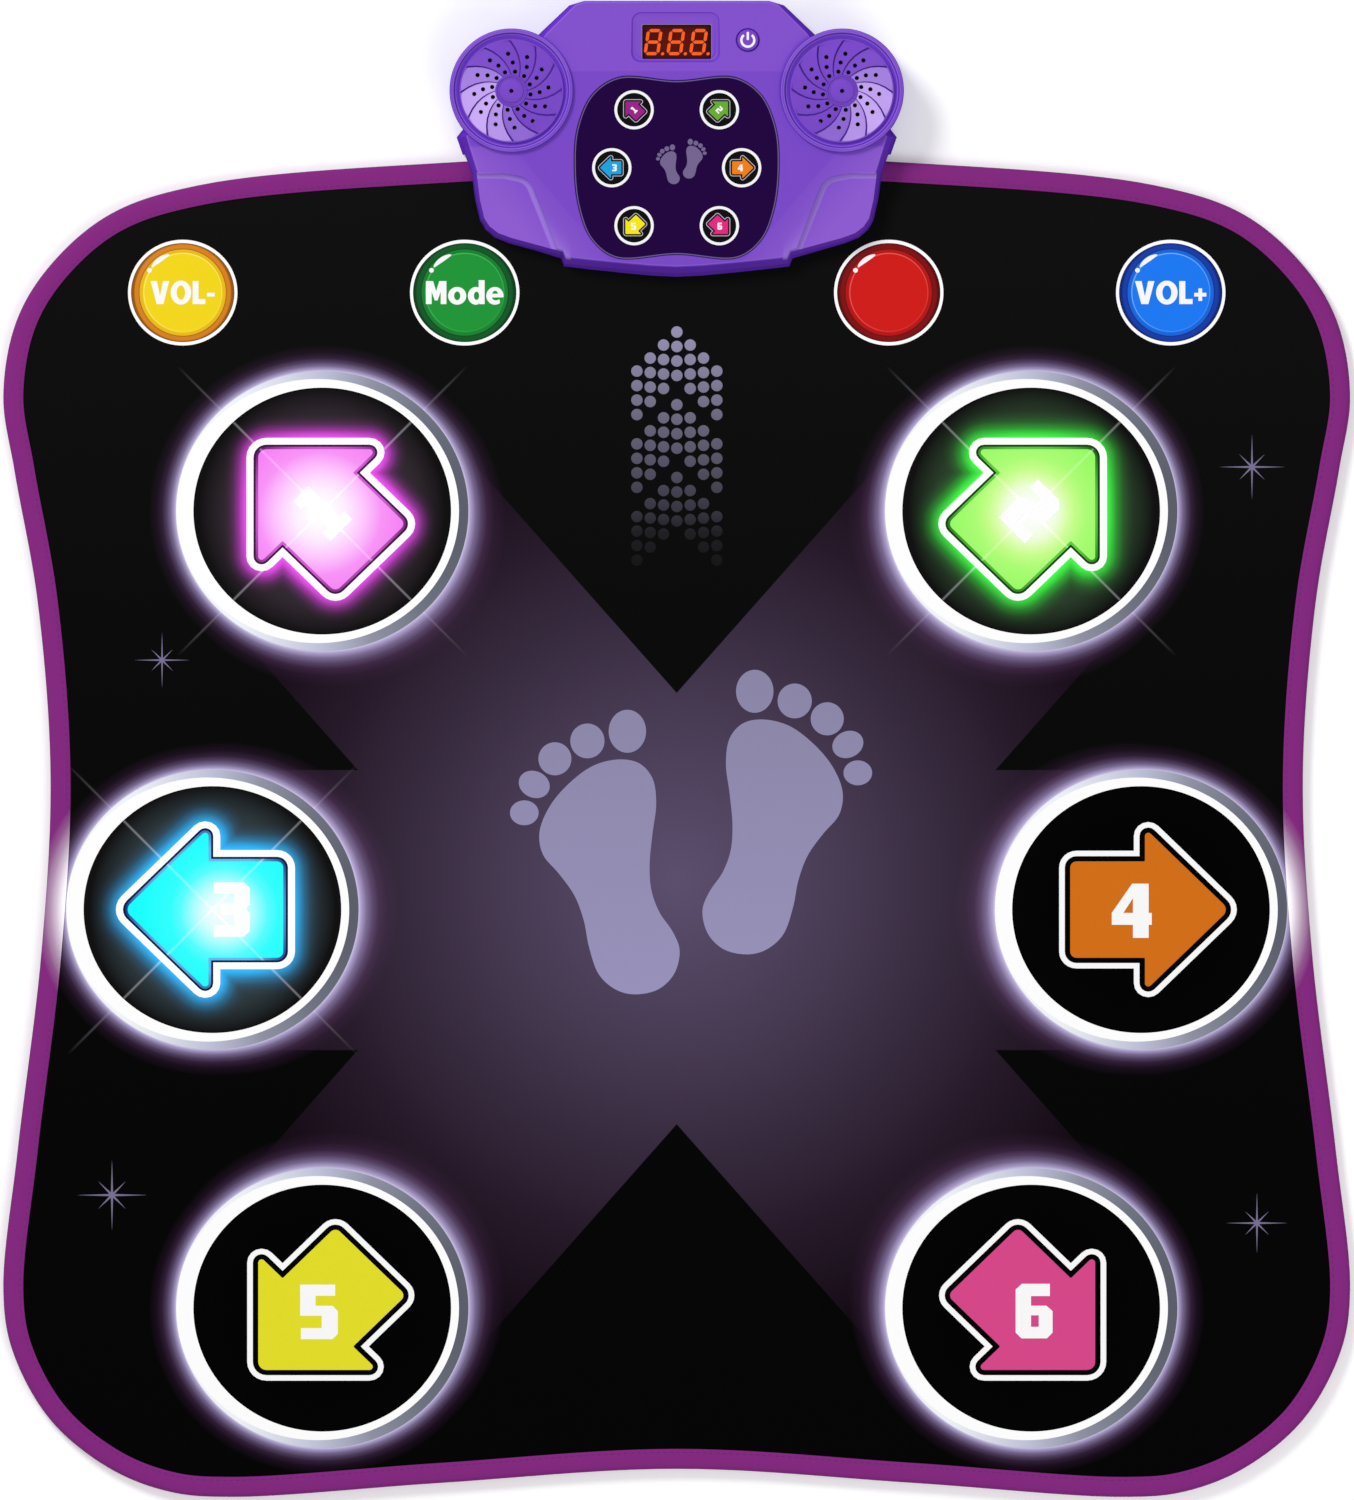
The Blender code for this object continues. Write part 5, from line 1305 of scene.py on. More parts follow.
def arc(x, y, wide, tall, start, end, steps=24):
    """Points of an ellipse from one angle to another, in degrees."""
    turns = [math.radians(start + (end - start) * k / steps) for k in range(steps + 1)]
    return [(x + wide * math.cos(a), y + tall * math.sin(a)) for a in turns]


# Outlines of the keys' letters, with capitals 100 high.
LETTERS = {
    "V": [[(0, 100), (28, 100), (42, 34), (56, 100), (83, 100), (57, 0), (27, 0)]],
    "O": [arc(46, 50, 46, 52, 0, 352, 44), arc(46, 50, 19, 31, 0, 352, 44)],
    "L": [[(0, 100), (26, 100), (26, 22), (57, 22), (57, 0), (0, 0)]],
    "-": [[(0, 33), (35, 33), (35, 49), (0, 49)]],
    "+": [[
        (0, 33), (18, 33), (18, 14), (34, 14), (34, 33), (52, 33), (52, 49), (34, 49), (34, 68), (18, 68),
        (18, 49), (0, 49),
    ]],
    "M": [[
        (0, 0), (0, 100), (30, 100), (43, 56), (56, 100), (86, 100), (86, 0), (62, 0), (62, 54), (49, 16),
        (37, 16), (24, 54), (24, 0),
    ]],
    "o": [arc(38, 36, 38, 38.5, 0, 352, 44), arc(38, 36, 13, 19, 0, 352, 44)],
    "d": [
        [(45, 104), (70, 104), (70, 0), (48, 0), (46, 6), *arc(33, 36, 33, 38.5, -70, -290), (45, 71)],
        arc(36, 36, 11, 18, 0, 350, 35),
    ],
    "e": [
        [*arc(36, 36, 36, 38.5, -10, 306, 50), (55, 21), *arc(40, 29, 16, 13, -52, -168, 12), (25, 29)],
        arc(37, 45, 11.5, 13, 0, 180, 16),
    ],
}


def word_loops(word, width, capital):
    """A word's outlines, centred on the origin and scaled to a width and a height of its capitals."""
    loops, pen = [], 0
    for letter in word:
        shapes = LETTERS[letter]
        loops += [[(pen + x, y) for x, y in loop] for loop in shapes]
        pen += max(x for x, _ in shapes[0]) + LETTER_SPACE
    pen -= LETTER_SPACE
    return [[((x / pen - 0.5) * width, (y / 100 - 0.5) * capital) for x, y in loop] for loop in loops]


class DANCE_OT_control_keys(bpy.types.Operator):
    """Four round keys: volume down, mode, source and volume up"""

    bl_idname = "dance.control_keys"
    bl_label = "Control keys"
    bl_options = {"REGISTER", "UNDO"}

    def execute(self, context):
        for key, centre in zip(KEYS, CONTROL_PADS):
            self.key(key, centre, *KEY_LOOKS[key])
        return {"FINISHED"}

    def key(self, key, centre, slot, word, width, face, ring, line):
        body = f"control_pad_{key}"
        shape = pad_shape(centre, CONTROL_PAD_RADIUS, PAD_TOP, 2, 96)
        base = from_shape(f"key_{key}", shape, self.ring_ink(key, centre, ring), slot, body)
        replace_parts(base, body)
        radius = CONTROL_PAD_RADIUS - KEY_RING
        level = PAD_TOP + PRINT
        disc = ellipse(centre.x, centre.y, radius, 96)
        paint = self.face_ink(key, centre, radius, face, ring)
        flat_piece(f"key_face_{key}", [disc], PAD_TOP, level, paint, slot, body)
        outer = ellipse(centre.x, centre.y + 0.0003, radius - 0.0026, 96)
        inner = ellipse(centre.x + 0.0002, centre.y, radius - 0.0031, 96)
        bright = ink(f"key_line_{key}", tone(*line))
        low, high = level - PRINT / 2, level + PRINT / 2
        flat_piece(f"key_line_{key}", [outer, inner], low, high, bright, slot, body)
        white = ink(f"key_white_{key}", tone(253, 253, 253))
        loops = [self.glint(centre), ellipse(centre.x - 0.0227, centre.y + 0.0152, GLINT_THICKNESS, 24)]
        flat_piece(f"key_glint_{key}", loops, level, level + PRINT, white, slot, body)
        if word:
            place = Matrix.Translation((centre.x, centre.y, 0))
            loops = word_loops(word, width, KEY_CAPITAL)
            flat_piece(f"key_word_{key}", loops, level, level + PRINT, white, slot, body, place)

    def face_ink(self, key, centre, radius, face, ring):
        """The key's colour, with a band of its ring's colour just inside its rim."""
        g = Graph(f"key_face_{key}", roughness=0.5, specular=0.05)
        share = (g.away(centre.x, centre.y)[2] / radius).clamped()
        face, ring = tone(*face), tone(*ring)
        edge = tuple(a * 0.6 + b * 0.4 for a, b in zip(face, ring))
        colour = g.ramp(share, (0.0, face), (0.915, face), (0.935, edge), (1.0, edge))
        return g.printed(colour)

    def glint(self, centre):
        """A curved highlight near the upper left, thick in its middle."""
        outer, inner = [], []
        for k in range(17):
            share = k / 16
            turn = math.radians(141 - 32 * share)
            thick = GLINT_THICKNESS * math.sin(math.pi * share) ** 0.6
            for line, radius in ((outer, GLINT_RADIUS + thick), (inner, GLINT_RADIUS - thick)):
                line.append((centre.x + radius * math.cos(turn), centre.y + radius * math.sin(turn)))
        return outer + inner[-2:0:-1]

    def ring_ink(self, key, centre, ring):
        g = Graph(f"key_ring_{key}", roughness=0.5, specular=0.08)
        radius = g.away(centre.x, centre.y)[2]
        share = ((radius - CONTROL_PAD_RADIUS + KEY_RING) / KEY_RING).clamped()
        bright = tone(*ring)
        dark = tuple(c * 0.42 for c in bright)
        colour = g.ramp(share, (0.0, dark), (0.22, bright), (0.75, bright), (1.0, dark))
        return g.printed(colour, 0.04)


# ---- Console -------------------------------------------------------------------------------
WALL = 0.0026
SEAM_HEIGHT = 0.015
PARTING = SEAM_HEIGHT + GAP / 2
MAT_SEAT = COVER_TOP + GAP
TAPER_FRONT = 0.40
TAPER_SIDE = 0.19
TAPER_ZONE = 0.045
POD_RADIUS = 0.0422
POD_OVERHANG = 0.0061
POD_RISE = 0.0030
POD_DEPTH_AT = 0.1267
POD_X = CONSOLE_WIDTH / 2 - POD_RADIUS
PLAN_HALF_WIDTH = CONSOLE_WIDTH / 2 - POD_OVERHANG
DISH_RADIUS = 0.0388
DISH_FLOOR = 0.0005
SPEAKER_OPENING = 0.0290
GRILLE_RADIUS = 0.0358
GRILLE_LOW = 0.0008
GRILLE_TOP = 0.0022
VANES = 12
VANE_START = math.radians(11)
VANE_SWEEP = math.radians(8)
VANE_STEP = 0.045
VANE_RISE = 0.0013
VANE_DROP = 0.0007
# The direction, round each grille, of the vane that gets the most painted light.
VANE_LIT = math.radians(-12)
FIRST_HOLE_RADIUS = 0.0133
HOLE_PITCH = 0.00605
HOLE_RADIUS = 0.00150
HUB_RADIUS = 0.0105
CORNER_DROP = 0.004
PANEL_WIDTH = 0.1398
PANEL_HEIGHT = 0.1228
PANEL_CENTRE = 0.0742
PANEL_THICKNESS = 0.0007
WELL_RADIUS = 0.0100
ICON_ROWS = (0.1136, 0.0741, 0.0346)
ICON_COLUMNS = (0.0291, 0.0443, 0.0291)
ICON_RADIUS = 0.0134
ICON_SCALE = 0.138
ICON_COLOURS = (
    (157, 35, 140), (105, 175, 50), (30, 165, 225), (245, 130, 20), (250, 235, 20), (235, 40, 130),
)
SMALL_FEET = (0.0018, 0.0867, 0.140)
DISPLAY_AT = 0.1596
WINDOW_WIDTH = 0.0470
WINDOW_HEIGHT = 0.0234
LENS_TOP = -0.0029
BEZEL_DEPTH = 0.0024
BUTTON_X = 0.0485
BUTTON_AT = 0.1610
BUTTON_RADIUS = 0.0074
BUTTON_TOP = 0.0006
EDGE_ROUND = 0.0016
BEZEL_X = -0.0008
BEZEL_RISE = 0.0036
BEZEL_WIDTH = 0.0612
BEZEL_HEIGHT = 0.0352
BEZEL_CORNER = 0.0062
BAND_CREASE = 0.1392
BAND_TILT = math.radians(0.9)
# Painted light: how much paler the rear band behind the crease is drawn.
BAND_PAINTED_LIGHT = (1.16, 1.24, 1.05)
# A point of the right corner's crease and the direction the corner falls away in, both in plan.
CORNER_CREASE = (0.1068, 0.0826, 0.0452, -0.0391)
CORNER_TILT = math.radians(2.2)
# Painted light: how much paler the front corners are drawn, growing over CORNER_SPREAD and stopping
# CORNER_BACK behind the front.
CORNER_PAINTED_LIGHT = (1.40, 1.62, 1.10)
CORNER_BACK = 0.0890
CORNER_SPREAD = 0.032
# Where the painted highlight on the fillets at the foot of the corner steps reaches.
FILLET_SIDE = 0.072
FILLET_BACK = 0.071

CONSOLE_HALF = (
    (0, 1.0), (0.443, 1.0), (0.488, 0.989), (0.6246, 0.885), (1.0, 0.5085), (0.9416, 0.3747),
    (0.9234, 0.277), (0.902, 0.205), (0.8764, 0.1706), (0.8361, 0.1429), (0.7723, 0.1226),
    (0.5319, 0.0672), (0.5165, 0.0378), (0.3895, 0.0261), (0.2532, 0.0149), (0.1209, 0.0048),
    (0, 0),
)
CORNER_STEP = (
    (1.25, 0.3747, 0.0), (0.79, 0.3747, 0.012), (0.675, 0.355, 0.014), (0.538, 0.0837, 0.010),
    (0.49, -0.08, 0.0), (1.25, -0.08, 0.0),
)
PANEL_HALF = (
    (0, 0.9625), (0.5665, 1.0), (0.8255, 0.8094), (0.97, 0.4365), (1.0, 0.01),
    (0.9585, -0.4349), (0.834, -0.7964), (0.5966, -1.0), (0, -0.9642),
)


def on_face(depth):
    """How far up the face's slope a plan depth lies."""
    return depth / math.cos(FACE_TILT)


def console_outline():
    """The console's plan at the mat, with its long sides split so that drafted walls stay even."""
    loop = mirrored([(x * PLAN_HALF_WIDTH, y * CONSOLE_DEPTH) for x, y in CONSOLE_HALF])
    fine = []
    for a, b in sides(loop):
        pieces = max(1, round((Vector(b) - Vector(a)).length / 0.012))
        fine += [tuple(Vector(a).lerp(Vector(b), k / pieces)) for k in range(pieces)]
    return fine


def tapered(x, y, height):
    """Where a wall point of the mat-level outline lies at another height."""
    rise = height - MAT_SEAT
    share = max(0.0, 1 - y / TAPER_ZONE)
    return x * (1 - TAPER_SIDE * rise / PLAN_HALF_WIDTH), y + TAPER_FRONT * rise * share


def level_height(y, level):
    """The height over a plan depth of a plane parallel to the face."""
    return FACE_FRONT_HEIGHT + y * math.tan(FACE_TILT) + level / math.cos(FACE_TILT)


def wall_point(x, y, height=None, level=0.0):
    """A point of the drafted wall, at a height or at a level measured from the face's plane."""
    z = height or FACE_FRONT_HEIGHT
    if height is None:
        for _ in range(4):
            z = level_height(tapered(x, y, z)[1], level)
    px, py = tapered(x, y, z)
    return (px, CONSOLE_FRONT + py, z)


def quarter(radius, steps=10):
    """(inset, drop) pairs of a rounded edge from the wall to the top, held tight at both ends."""
    turns = [math.pi / 2 * k / steps for k in range(steps + 1)]
    arc = [(radius * (1 - math.cos(a)), -radius * (1 - math.sin(a))) for a in turns]
    return [(0.0, -radius * 1.3), *arc, (radius * 1.3, 0.0)]


def console_body(level, low, margin=0.0, edge=EDGE_ROUND):
    """The console's drafted block up to a level of its face, with a rounded rim."""
    outline = console_outline()
    rings = [[wall_point(x, y, height=low) for x, y in inset(outline, margin)]]
    for step, drop in quarter(edge):
        rings.append([wall_point(x, y, level=level + drop) for x, y in inset(outline, margin + step)])
    return lofted(rings)


def corner_cutter(side, profile):
    """The space over a front corner: profile gives its (inset, level) from the foot up."""
    corners = [
        (x * PLAN_HALF_WIDTH, on_face(y * CONSOLE_DEPTH), max(r, 0.0003)) for x, y, r in CORNER_STEP
    ]
    loop = rounded(corners, steps=12)
    return lofted([[FACE @ Vector((side * x, y, z)) for x, y in inset(loop, d)] for d, z in profile])


def face_disc(x, v, profile, steps=64):
    """A turned solid standing on the face, its axis square to it."""
    return turned(profile, FACE @ Matrix.Translation((x, v, 0)), steps)


def plug(radius, low, high):
    return ((0, high), (radius, high), (radius, low), (0, low))


def pod_block(side, radius, low, levels):
    """An upright round pod whose upper levels run parallel to the face: (radius change, level)."""
    place = (side * POD_X, POD_DEPTH_AT)
    rings = [[(x, CONSOLE_FRONT + y, low) for x, y in ellipse(*place, radius, 120)]]
    for change, level in levels:
        loop = ellipse(*place, radius + change, 120)
        rings.append([(x, CONSOLE_FRONT + y, level_height(y, level)) for x, y in loop])
    return lofted(rings)


def panel_loop(margin):
    half = [(x * PANEL_WIDTH / 2, PANEL_CENTRE + y * PANEL_HEIGHT / 2) for x, y in PANEL_HALF]
    loop = [(x, on_face(y)) for x, y in smooth_loop(mirrored(half), 12)]
    return inset(loop, -margin)


def icon_places():
    rows = zip(ICON_COLUMNS, ICON_ROWS)
    return [(side * x, on_face(y)) for x, y in rows for side in (-1, 1)]


def rounded_box(x, y, width, height, radius):
    a, b = width / 2, height / 2
    corners = [(x + sx * a, y + sy * b, radius) for sx, sy in ((1, 1), (-1, 1), (-1, -1), (1, -1))]
    return rounded(corners)


def boxed(low, high):
    """A box between two corners."""
    shape = bmesh.new()
    size = Vector(high) - Vector(low)
    place = Matrix.Translation((Vector(high) + Vector(low)) / 2) @ Matrix.Diagonal((*size, 1))
    bmesh.ops.create_cube(shape, size=1.0, matrix=place)
    return shape


def vane_sweep(radius):
    """How far a vane has turned back at a radius."""
    return VANE_SWEEP * (radius - FIRST_HOLE_RADIUS) / HOLE_PITCH


def shell_plastic(name, settings):
    """The console's purple plastic, with painted light that makes it paler behind its crease and on its
    front corners.

    Painted shade darkens its walls, grooves and the bezel's slopes; painted highlights brighten its bends
    and the foot of each corner step.
    """
    g = Graph(name, roughness=0.42)
    base = tuple(settings.shell)
    depth = g.y - CONSOLE_FRONT
    # Painted light: paler across the rear band and towards the outer front corners.
    x, y, nx, ny = CORNER_CREASE
    beyond = ((abs(g.x) - x) * nx + (depth - y) * ny) / math.hypot(nx, ny)
    rise = (beyond / MM).clamped() * 0.2 + (beyond / CORNER_SPREAD).clamped() * 0.8
    corner = rise * ((CORNER_BACK - depth) / MM).clamped()
    band = ((depth - BAND_CREASE) / 0.0012).clamped()
    colour = g.mix(band, base, tuple(c * k for c, k in zip(base, BAND_PAINTED_LIGHT)))
    colour = g.mix(corner, colour, tuple(c * k for c, k in zip(base, CORNER_PAINTED_LIGHT)))
    level = (g.z - FACE_FRONT_HEIGHT) * math.cos(FACE_TILT) - depth * math.sin(FACE_TILT)
    # Painted shade in the groove between each grille and the wall of its dish.
    reach = flat_length(abs(g.x) - POD_X, depth - POD_DEPTH_AT)
    groove_shade = ((reach - GRILLE_RADIUS) / 0.0003).clamped() * ((DISH_RADIUS - reach) / 0.0004).clamped()
    groove_shade = groove_shade * ((POD_RISE - level) / 0.0012).clamped()
    # Painted highlight on the fillet at the foot of each front corner step.
    side = ((abs(g.x) - FILLET_SIDE) / MM).clamped() * ((FILLET_BACK - depth) / MM).clamped()
    fillet_highlight = side * ((level + 0.00399) / 0.00012).clamped() * ((-0.0004 - level) / 0.0005).clamped()
    fillet_highlight = fillet_highlight * ((level + 0.0004) / -0.0006).clamped()
    # Painted shade on the walls and the bezel's slopes, painted highlights along the bends.
    steep = steepness(g)
    bezel = ((0.0325 - abs(g.x - BEZEL_X)) / 0.0003).clamped()
    bezel = bezel * ((0.0195 - abs(depth - DISPLAY_AT - 0.0030)) / 0.0003).clamped()
    wall = steep * (1.0 - fillet_highlight)
    glint = (steep * 12.0).clamped() * (1.6 - steep * 4.0).clamped() * (1.0 - fillet_highlight) * (1.0 - bezel)
    wall = wall.most((bezel * steep * 3.0).clamped() * 0.8)
    # The painted shade, then the painted highlights of the bends and of the fillets.
    colour = g.mix(groove_shade.most(wall) * 0.9, colour, tone(106, 51, 200))
    colour = g.mix(glint * 0.5, colour, tone(164, 126, 232))
    colour = g.mix(fillet_highlight * 0.75, colour, tone(166, 130, 226))
    g.plug(g.shader.inputs["Specular IOR Level"], (1.0 - steep * 2.0).clamped() * 0.08)
    return g.finish(g.grained(colour, 0.025, 700.0), g.noise(2600.0), 0.00004, 0.22)


def steepness(g):
    """How far a surface turns away from the console's face: 0 along it, 1 on its walls."""
    tilt = (0.0, -math.sin(FACE_TILT), math.cos(FACE_TILT))
    facing = g.node("ShaderNodeVectorMath", {0: g.turn, 1: tilt}, operation="DOT_PRODUCT")
    return ((-Term(g, facing.outputs["Value"]) + 0.985) * 2.0).clamped()


class DANCE_OT_console_top(bpy.types.Operator):
    """Upper console shell with its two speaker pods, panel recess, display bezel and button hole"""

    bl_idname = "dance.console_top"
    bl_label = "Console top shell"
    bl_options = {"REGISTER", "UNDO"}

    def execute(self, context):
        floor = -CORNER_DROP
        shell = self.faceted(console_body(0.0, PARTING - 0.003))
        foot = (
            (0.0046, floor), (0.0036, floor + 0.0001), (0.0026, floor + 0.0004), (0.0016, floor + 0.0009),
            (0.0009, floor + 0.0015), (0.0004, floor + 0.0023), (0.0, floor + 0.0032),
            (-0.0003, -0.0004), (-0.0009, -0.0001), (-0.0019, 0.0003), (-0.0019, 0.02),
        )
        lip = [(-step, POD_RISE + drop) for step, drop in quarter(0.0013)]
        lip += [
            (-0.0022, POD_RISE), (-0.0027, POD_RISE - 0.0002), (-0.0031, POD_RISE - 0.0007),
            (-0.0034, DISH_FLOOR + 0.0009), (-0.0038, DISH_FLOOR + 0.0004),
            (-0.0045, DISH_FLOOR + 0.0001), (-0.0054, DISH_FLOOR),
        ]
        wide = CONSOLE_WIDTH
        slab = boxed((-wide, CONSOLE_FRONT - wide, -wide), (wide, CONSOLE_FRONT + 2 * wide, PARTING))
        steps = [("DIFFERENCE", corner_cutter(side, foot)) for side in (-1, 1)]
        steps += [("UNION", pod_block(side, POD_RADIUS, PARTING - 0.004, lip)) for side in (-1, 1)]
        steps += [("DIFFERENCE", self.cavity()), ("DIFFERENCE", slab)]
        steps += [("DIFFERENCE", opening) for opening in self.openings()]
        shell = carve(shell, *steps)
        plastic = shell_plastic("shell_plastic", context.scene.dance_console)
        obj = from_shape("console_upper_shell", shell, plastic, "shell_purple", sharp=16)
        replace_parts(obj, "console_top_shell")
        return {"FINISHED"}

    def faceted(self, shape):
        """Lowers the block's face beyond its creases: across the rear band and at both front corners."""
        x, y, nx, ny = CORNER_CREASE
        creases = [(Vector((0, on_face(BAND_CREASE), 0)), Vector((0, 1, 0)), BAND_TILT)]
        for side in (-1, 1):
            falls = Vector((side * nx, ny, 0)).normalized()
            creases.append((Vector((side * x, on_face(y), 0)), falls, CORNER_TILT))
        for point, normal, _ in creases:
            bmesh.ops.bisect_plane(
                shape,
                geom=list(shape.verts) + list(shape.edges) + list(shape.faces),
                dist=WELD,
                plane_co=FACE @ point,
                plane_no=FACE.to_3x3() @ normal,
            )
        to_face = FACE.inverted()
        for vertex in shape.verts:
            local = to_face @ vertex.co
            if local.z > -EDGE_ROUND * 1.5:
                local.z -= sum(max(0.0, (local - p).dot(n)) * math.tan(tilt) for p, n, tilt in creases)
                vertex.co = FACE @ local
        return shape

    def openings(self):
        """Cutters for the panel seat, icon windows, bezel, display window, button and speakers."""
        seat = [
            (0.0, -PANEL_THICKNESS - GAP), (0.0, -0.0003), (-0.0003, 0.0), (-0.0006, 0.0002),
            (-0.0006, 0.004),
        ]
        yield stacked(panel_loop(GAP), seat, FACE)
        for x, v in icon_places():
            yield face_disc(x, v, plug(WELL_RADIUS, -0.008, 0.005), 48)
        display = on_face(DISPLAY_AT)
        rings = []
        slope = ((0.0, 0.004), (0.0, 0.0001), (0.0006, -0.0005), (0.0014, -0.0012), (0.0026, -0.0016))
        for grow, level in slope:
            size = (BEZEL_WIDTH - 2 * grow, BEZEL_HEIGHT - 2 * grow)
            rings.append((rounded_box(BEZEL_X, display + BEZEL_RISE, *size, BEZEL_CORNER), level))
        foot = rounded_box(0, display + 0.0008, WINDOW_WIDTH + 0.0034, WINDOW_HEIGHT + 0.0036, 0.0016)
        rings.append((foot, -BEZEL_DEPTH))
        yield lofted([[FACE @ Vector((x, y, z)) for x, y in loop] for loop, z in rings])
        window = rounded_box(0, display, WINDOW_WIDTH, WINDOW_HEIGHT, 0.001)
        yield stacked(window, [(0, -0.01), (0, 0.01)], FACE)
        yield face_disc(BUTTON_X, on_face(BUTTON_AT), (
            (0, 0.005), (0.0090, 0.005), (0.0090, 0.0), (0.0084, -0.0002), (0.0080, -0.0008),
            (BUTTON_RADIUS + GAP, -0.0012), (BUTTON_RADIUS + GAP, -0.01), (0, -0.01),
        ))
        for side in (-1, 1):
            yield face_disc(side * POD_X, on_face(POD_DEPTH_AT), plug(SPEAKER_OPENING, -0.01, 0.01))

    def cavity(self):
        """The hollow inside: drafted walls, lower over the corners, and open under the pods."""
        low = PARTING - 0.006
        hollow = console_body(-WALL, low, WALL, 0.0003)
        roof = -CORNER_DROP - WALL
        steps = [("DIFFERENCE", corner_cutter(side, ((-WALL, roof), (-WALL, 0.02)))) for side in (-1, 1)]
        under = [(0, DISH_FLOOR - WALL)]
        steps += [("UNION", pod_block(side, POD_RADIUS - WALL, low - 0.001, under)) for side in (-1, 1)]
        return carve(hollow, *steps)


class DANCE_OT_console_bottom(bpy.types.Operator):
    """Lower console shell and battery door, in the frame's own shapes"""

    bl_idname = "dance.console_bottom"
    bl_label = "Console underside"
    bl_options = {"REGISTER", "UNDO"}

    def execute(self, context):
        # Painted shade: the lower shell and its battery door are a darker copy of the shell's purple, as
        # its walls look in shade.
        colour = tone(98, 47, 186)
        lower = moulded("lower_shell_plastic", colour, specular=0.0)
        merged_copy("console_lower_shell", "console_bottom_shell", lower, "shell_purple")
        merged_copy("battery_cover", "battery_door", moulded("door_plastic", colour), "shell_purple")
        return {"FINISHED"}


class DANCE_OT_face_panel(bpy.types.Operator):
    """Dark face panel with its six numbered icons and a small pair of footprints"""

    bl_idname = "dance.face_panel"
    bl_label = "Face panel"
    bl_options = {"REGISTER", "UNDO"}

    def execute(self, context):
        film = plain(
            "panel_film", tuple(context.scene.dance_console.panel), (0.04, 500.0), (1800.0, 0.00002, 0.2),
            roughness=0.3, specular=0.012,
        )
        profile = ((0, -PANEL_THICKNESS), (0, -0.0002), (0.0001, -0.00006), (0.00025, 0), (0.0006, 0))
        sheet = stacked(panel_loop(0), profile, FACE)
        panel = from_shape("printed_face_panel", sheet, film, "panel_dark")
        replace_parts(panel, "face_panel")
        edge = [inset(panel_loop(0), 0.0003), inset(panel_loop(0), 0.0010)]
        line = ink("panel_edge_ink", tone(112, 92, 142))
        flat_piece("face_panel_edge", edge, 0, PRINT / 2, line, "panel_dark", matrix=FACE)
        x, v, scale = SMALL_FEET
        feet = [moved(loop, x=x, y=v, scale=scale) for loop in feet_loops()]
        paint = ink("small_feet_ink", tone(118, 101, 146))
        flat_piece("face_panel_feet", feet, 0, PRINT / 2, paint, "panel_dark", matrix=FACE)
        for number, (x, v) in enumerate(icon_places(), 1):
            self.icon(number, x, v)
        return {"FINISHED"}

    def icon(self, number, x, v):
        place = FACE @ Matrix.Translation((x, v, 0))
        step = PRINT * 0.6
        white = ink(f"icon_white_{number}", tone(250, 250, 252))
        disc = ink(f"icon_black_{number}", tone(5, 4, 6))
        rim, inner, black = (ellipse(0, 0, ICON_RADIUS - d, 72) for d in (0.0, 0.0019, 0.0018))
        film = {"slot": "panel_dark", "matrix": place}
        flat_piece(f"icon_ring_{number}", [rim, inner], 0, step * 2, white, **film)
        flat_piece(f"icon_disc_{number}", [black], 0, step, disc, **film)
        scale = ICON_SCALE
        arrow = [moved(arrow_loop(number, -0.0010), scale=scale)]
        line = [moved(arrow_loop(number, d), scale=scale) for d in (0.0098, 0.0064)]
        paint = ink(f"icon_colour_{number}", tone(*ICON_COLOURS[number - 1]))
        outline = ink(f"icon_line_{number}", tone(196, 190, 206))
        flat_piece(f"icon_line_{number}", line, step, step * 2, outline, **film)
        flat_piece(f"icon_arrow_{number}", arrow, step, step * 2, paint, **film)
        digit = number_loops(number, scale, 0.92)
        flat_piece(f"icon_number_{number}", digit, step * 2, step * 3, white, **film)


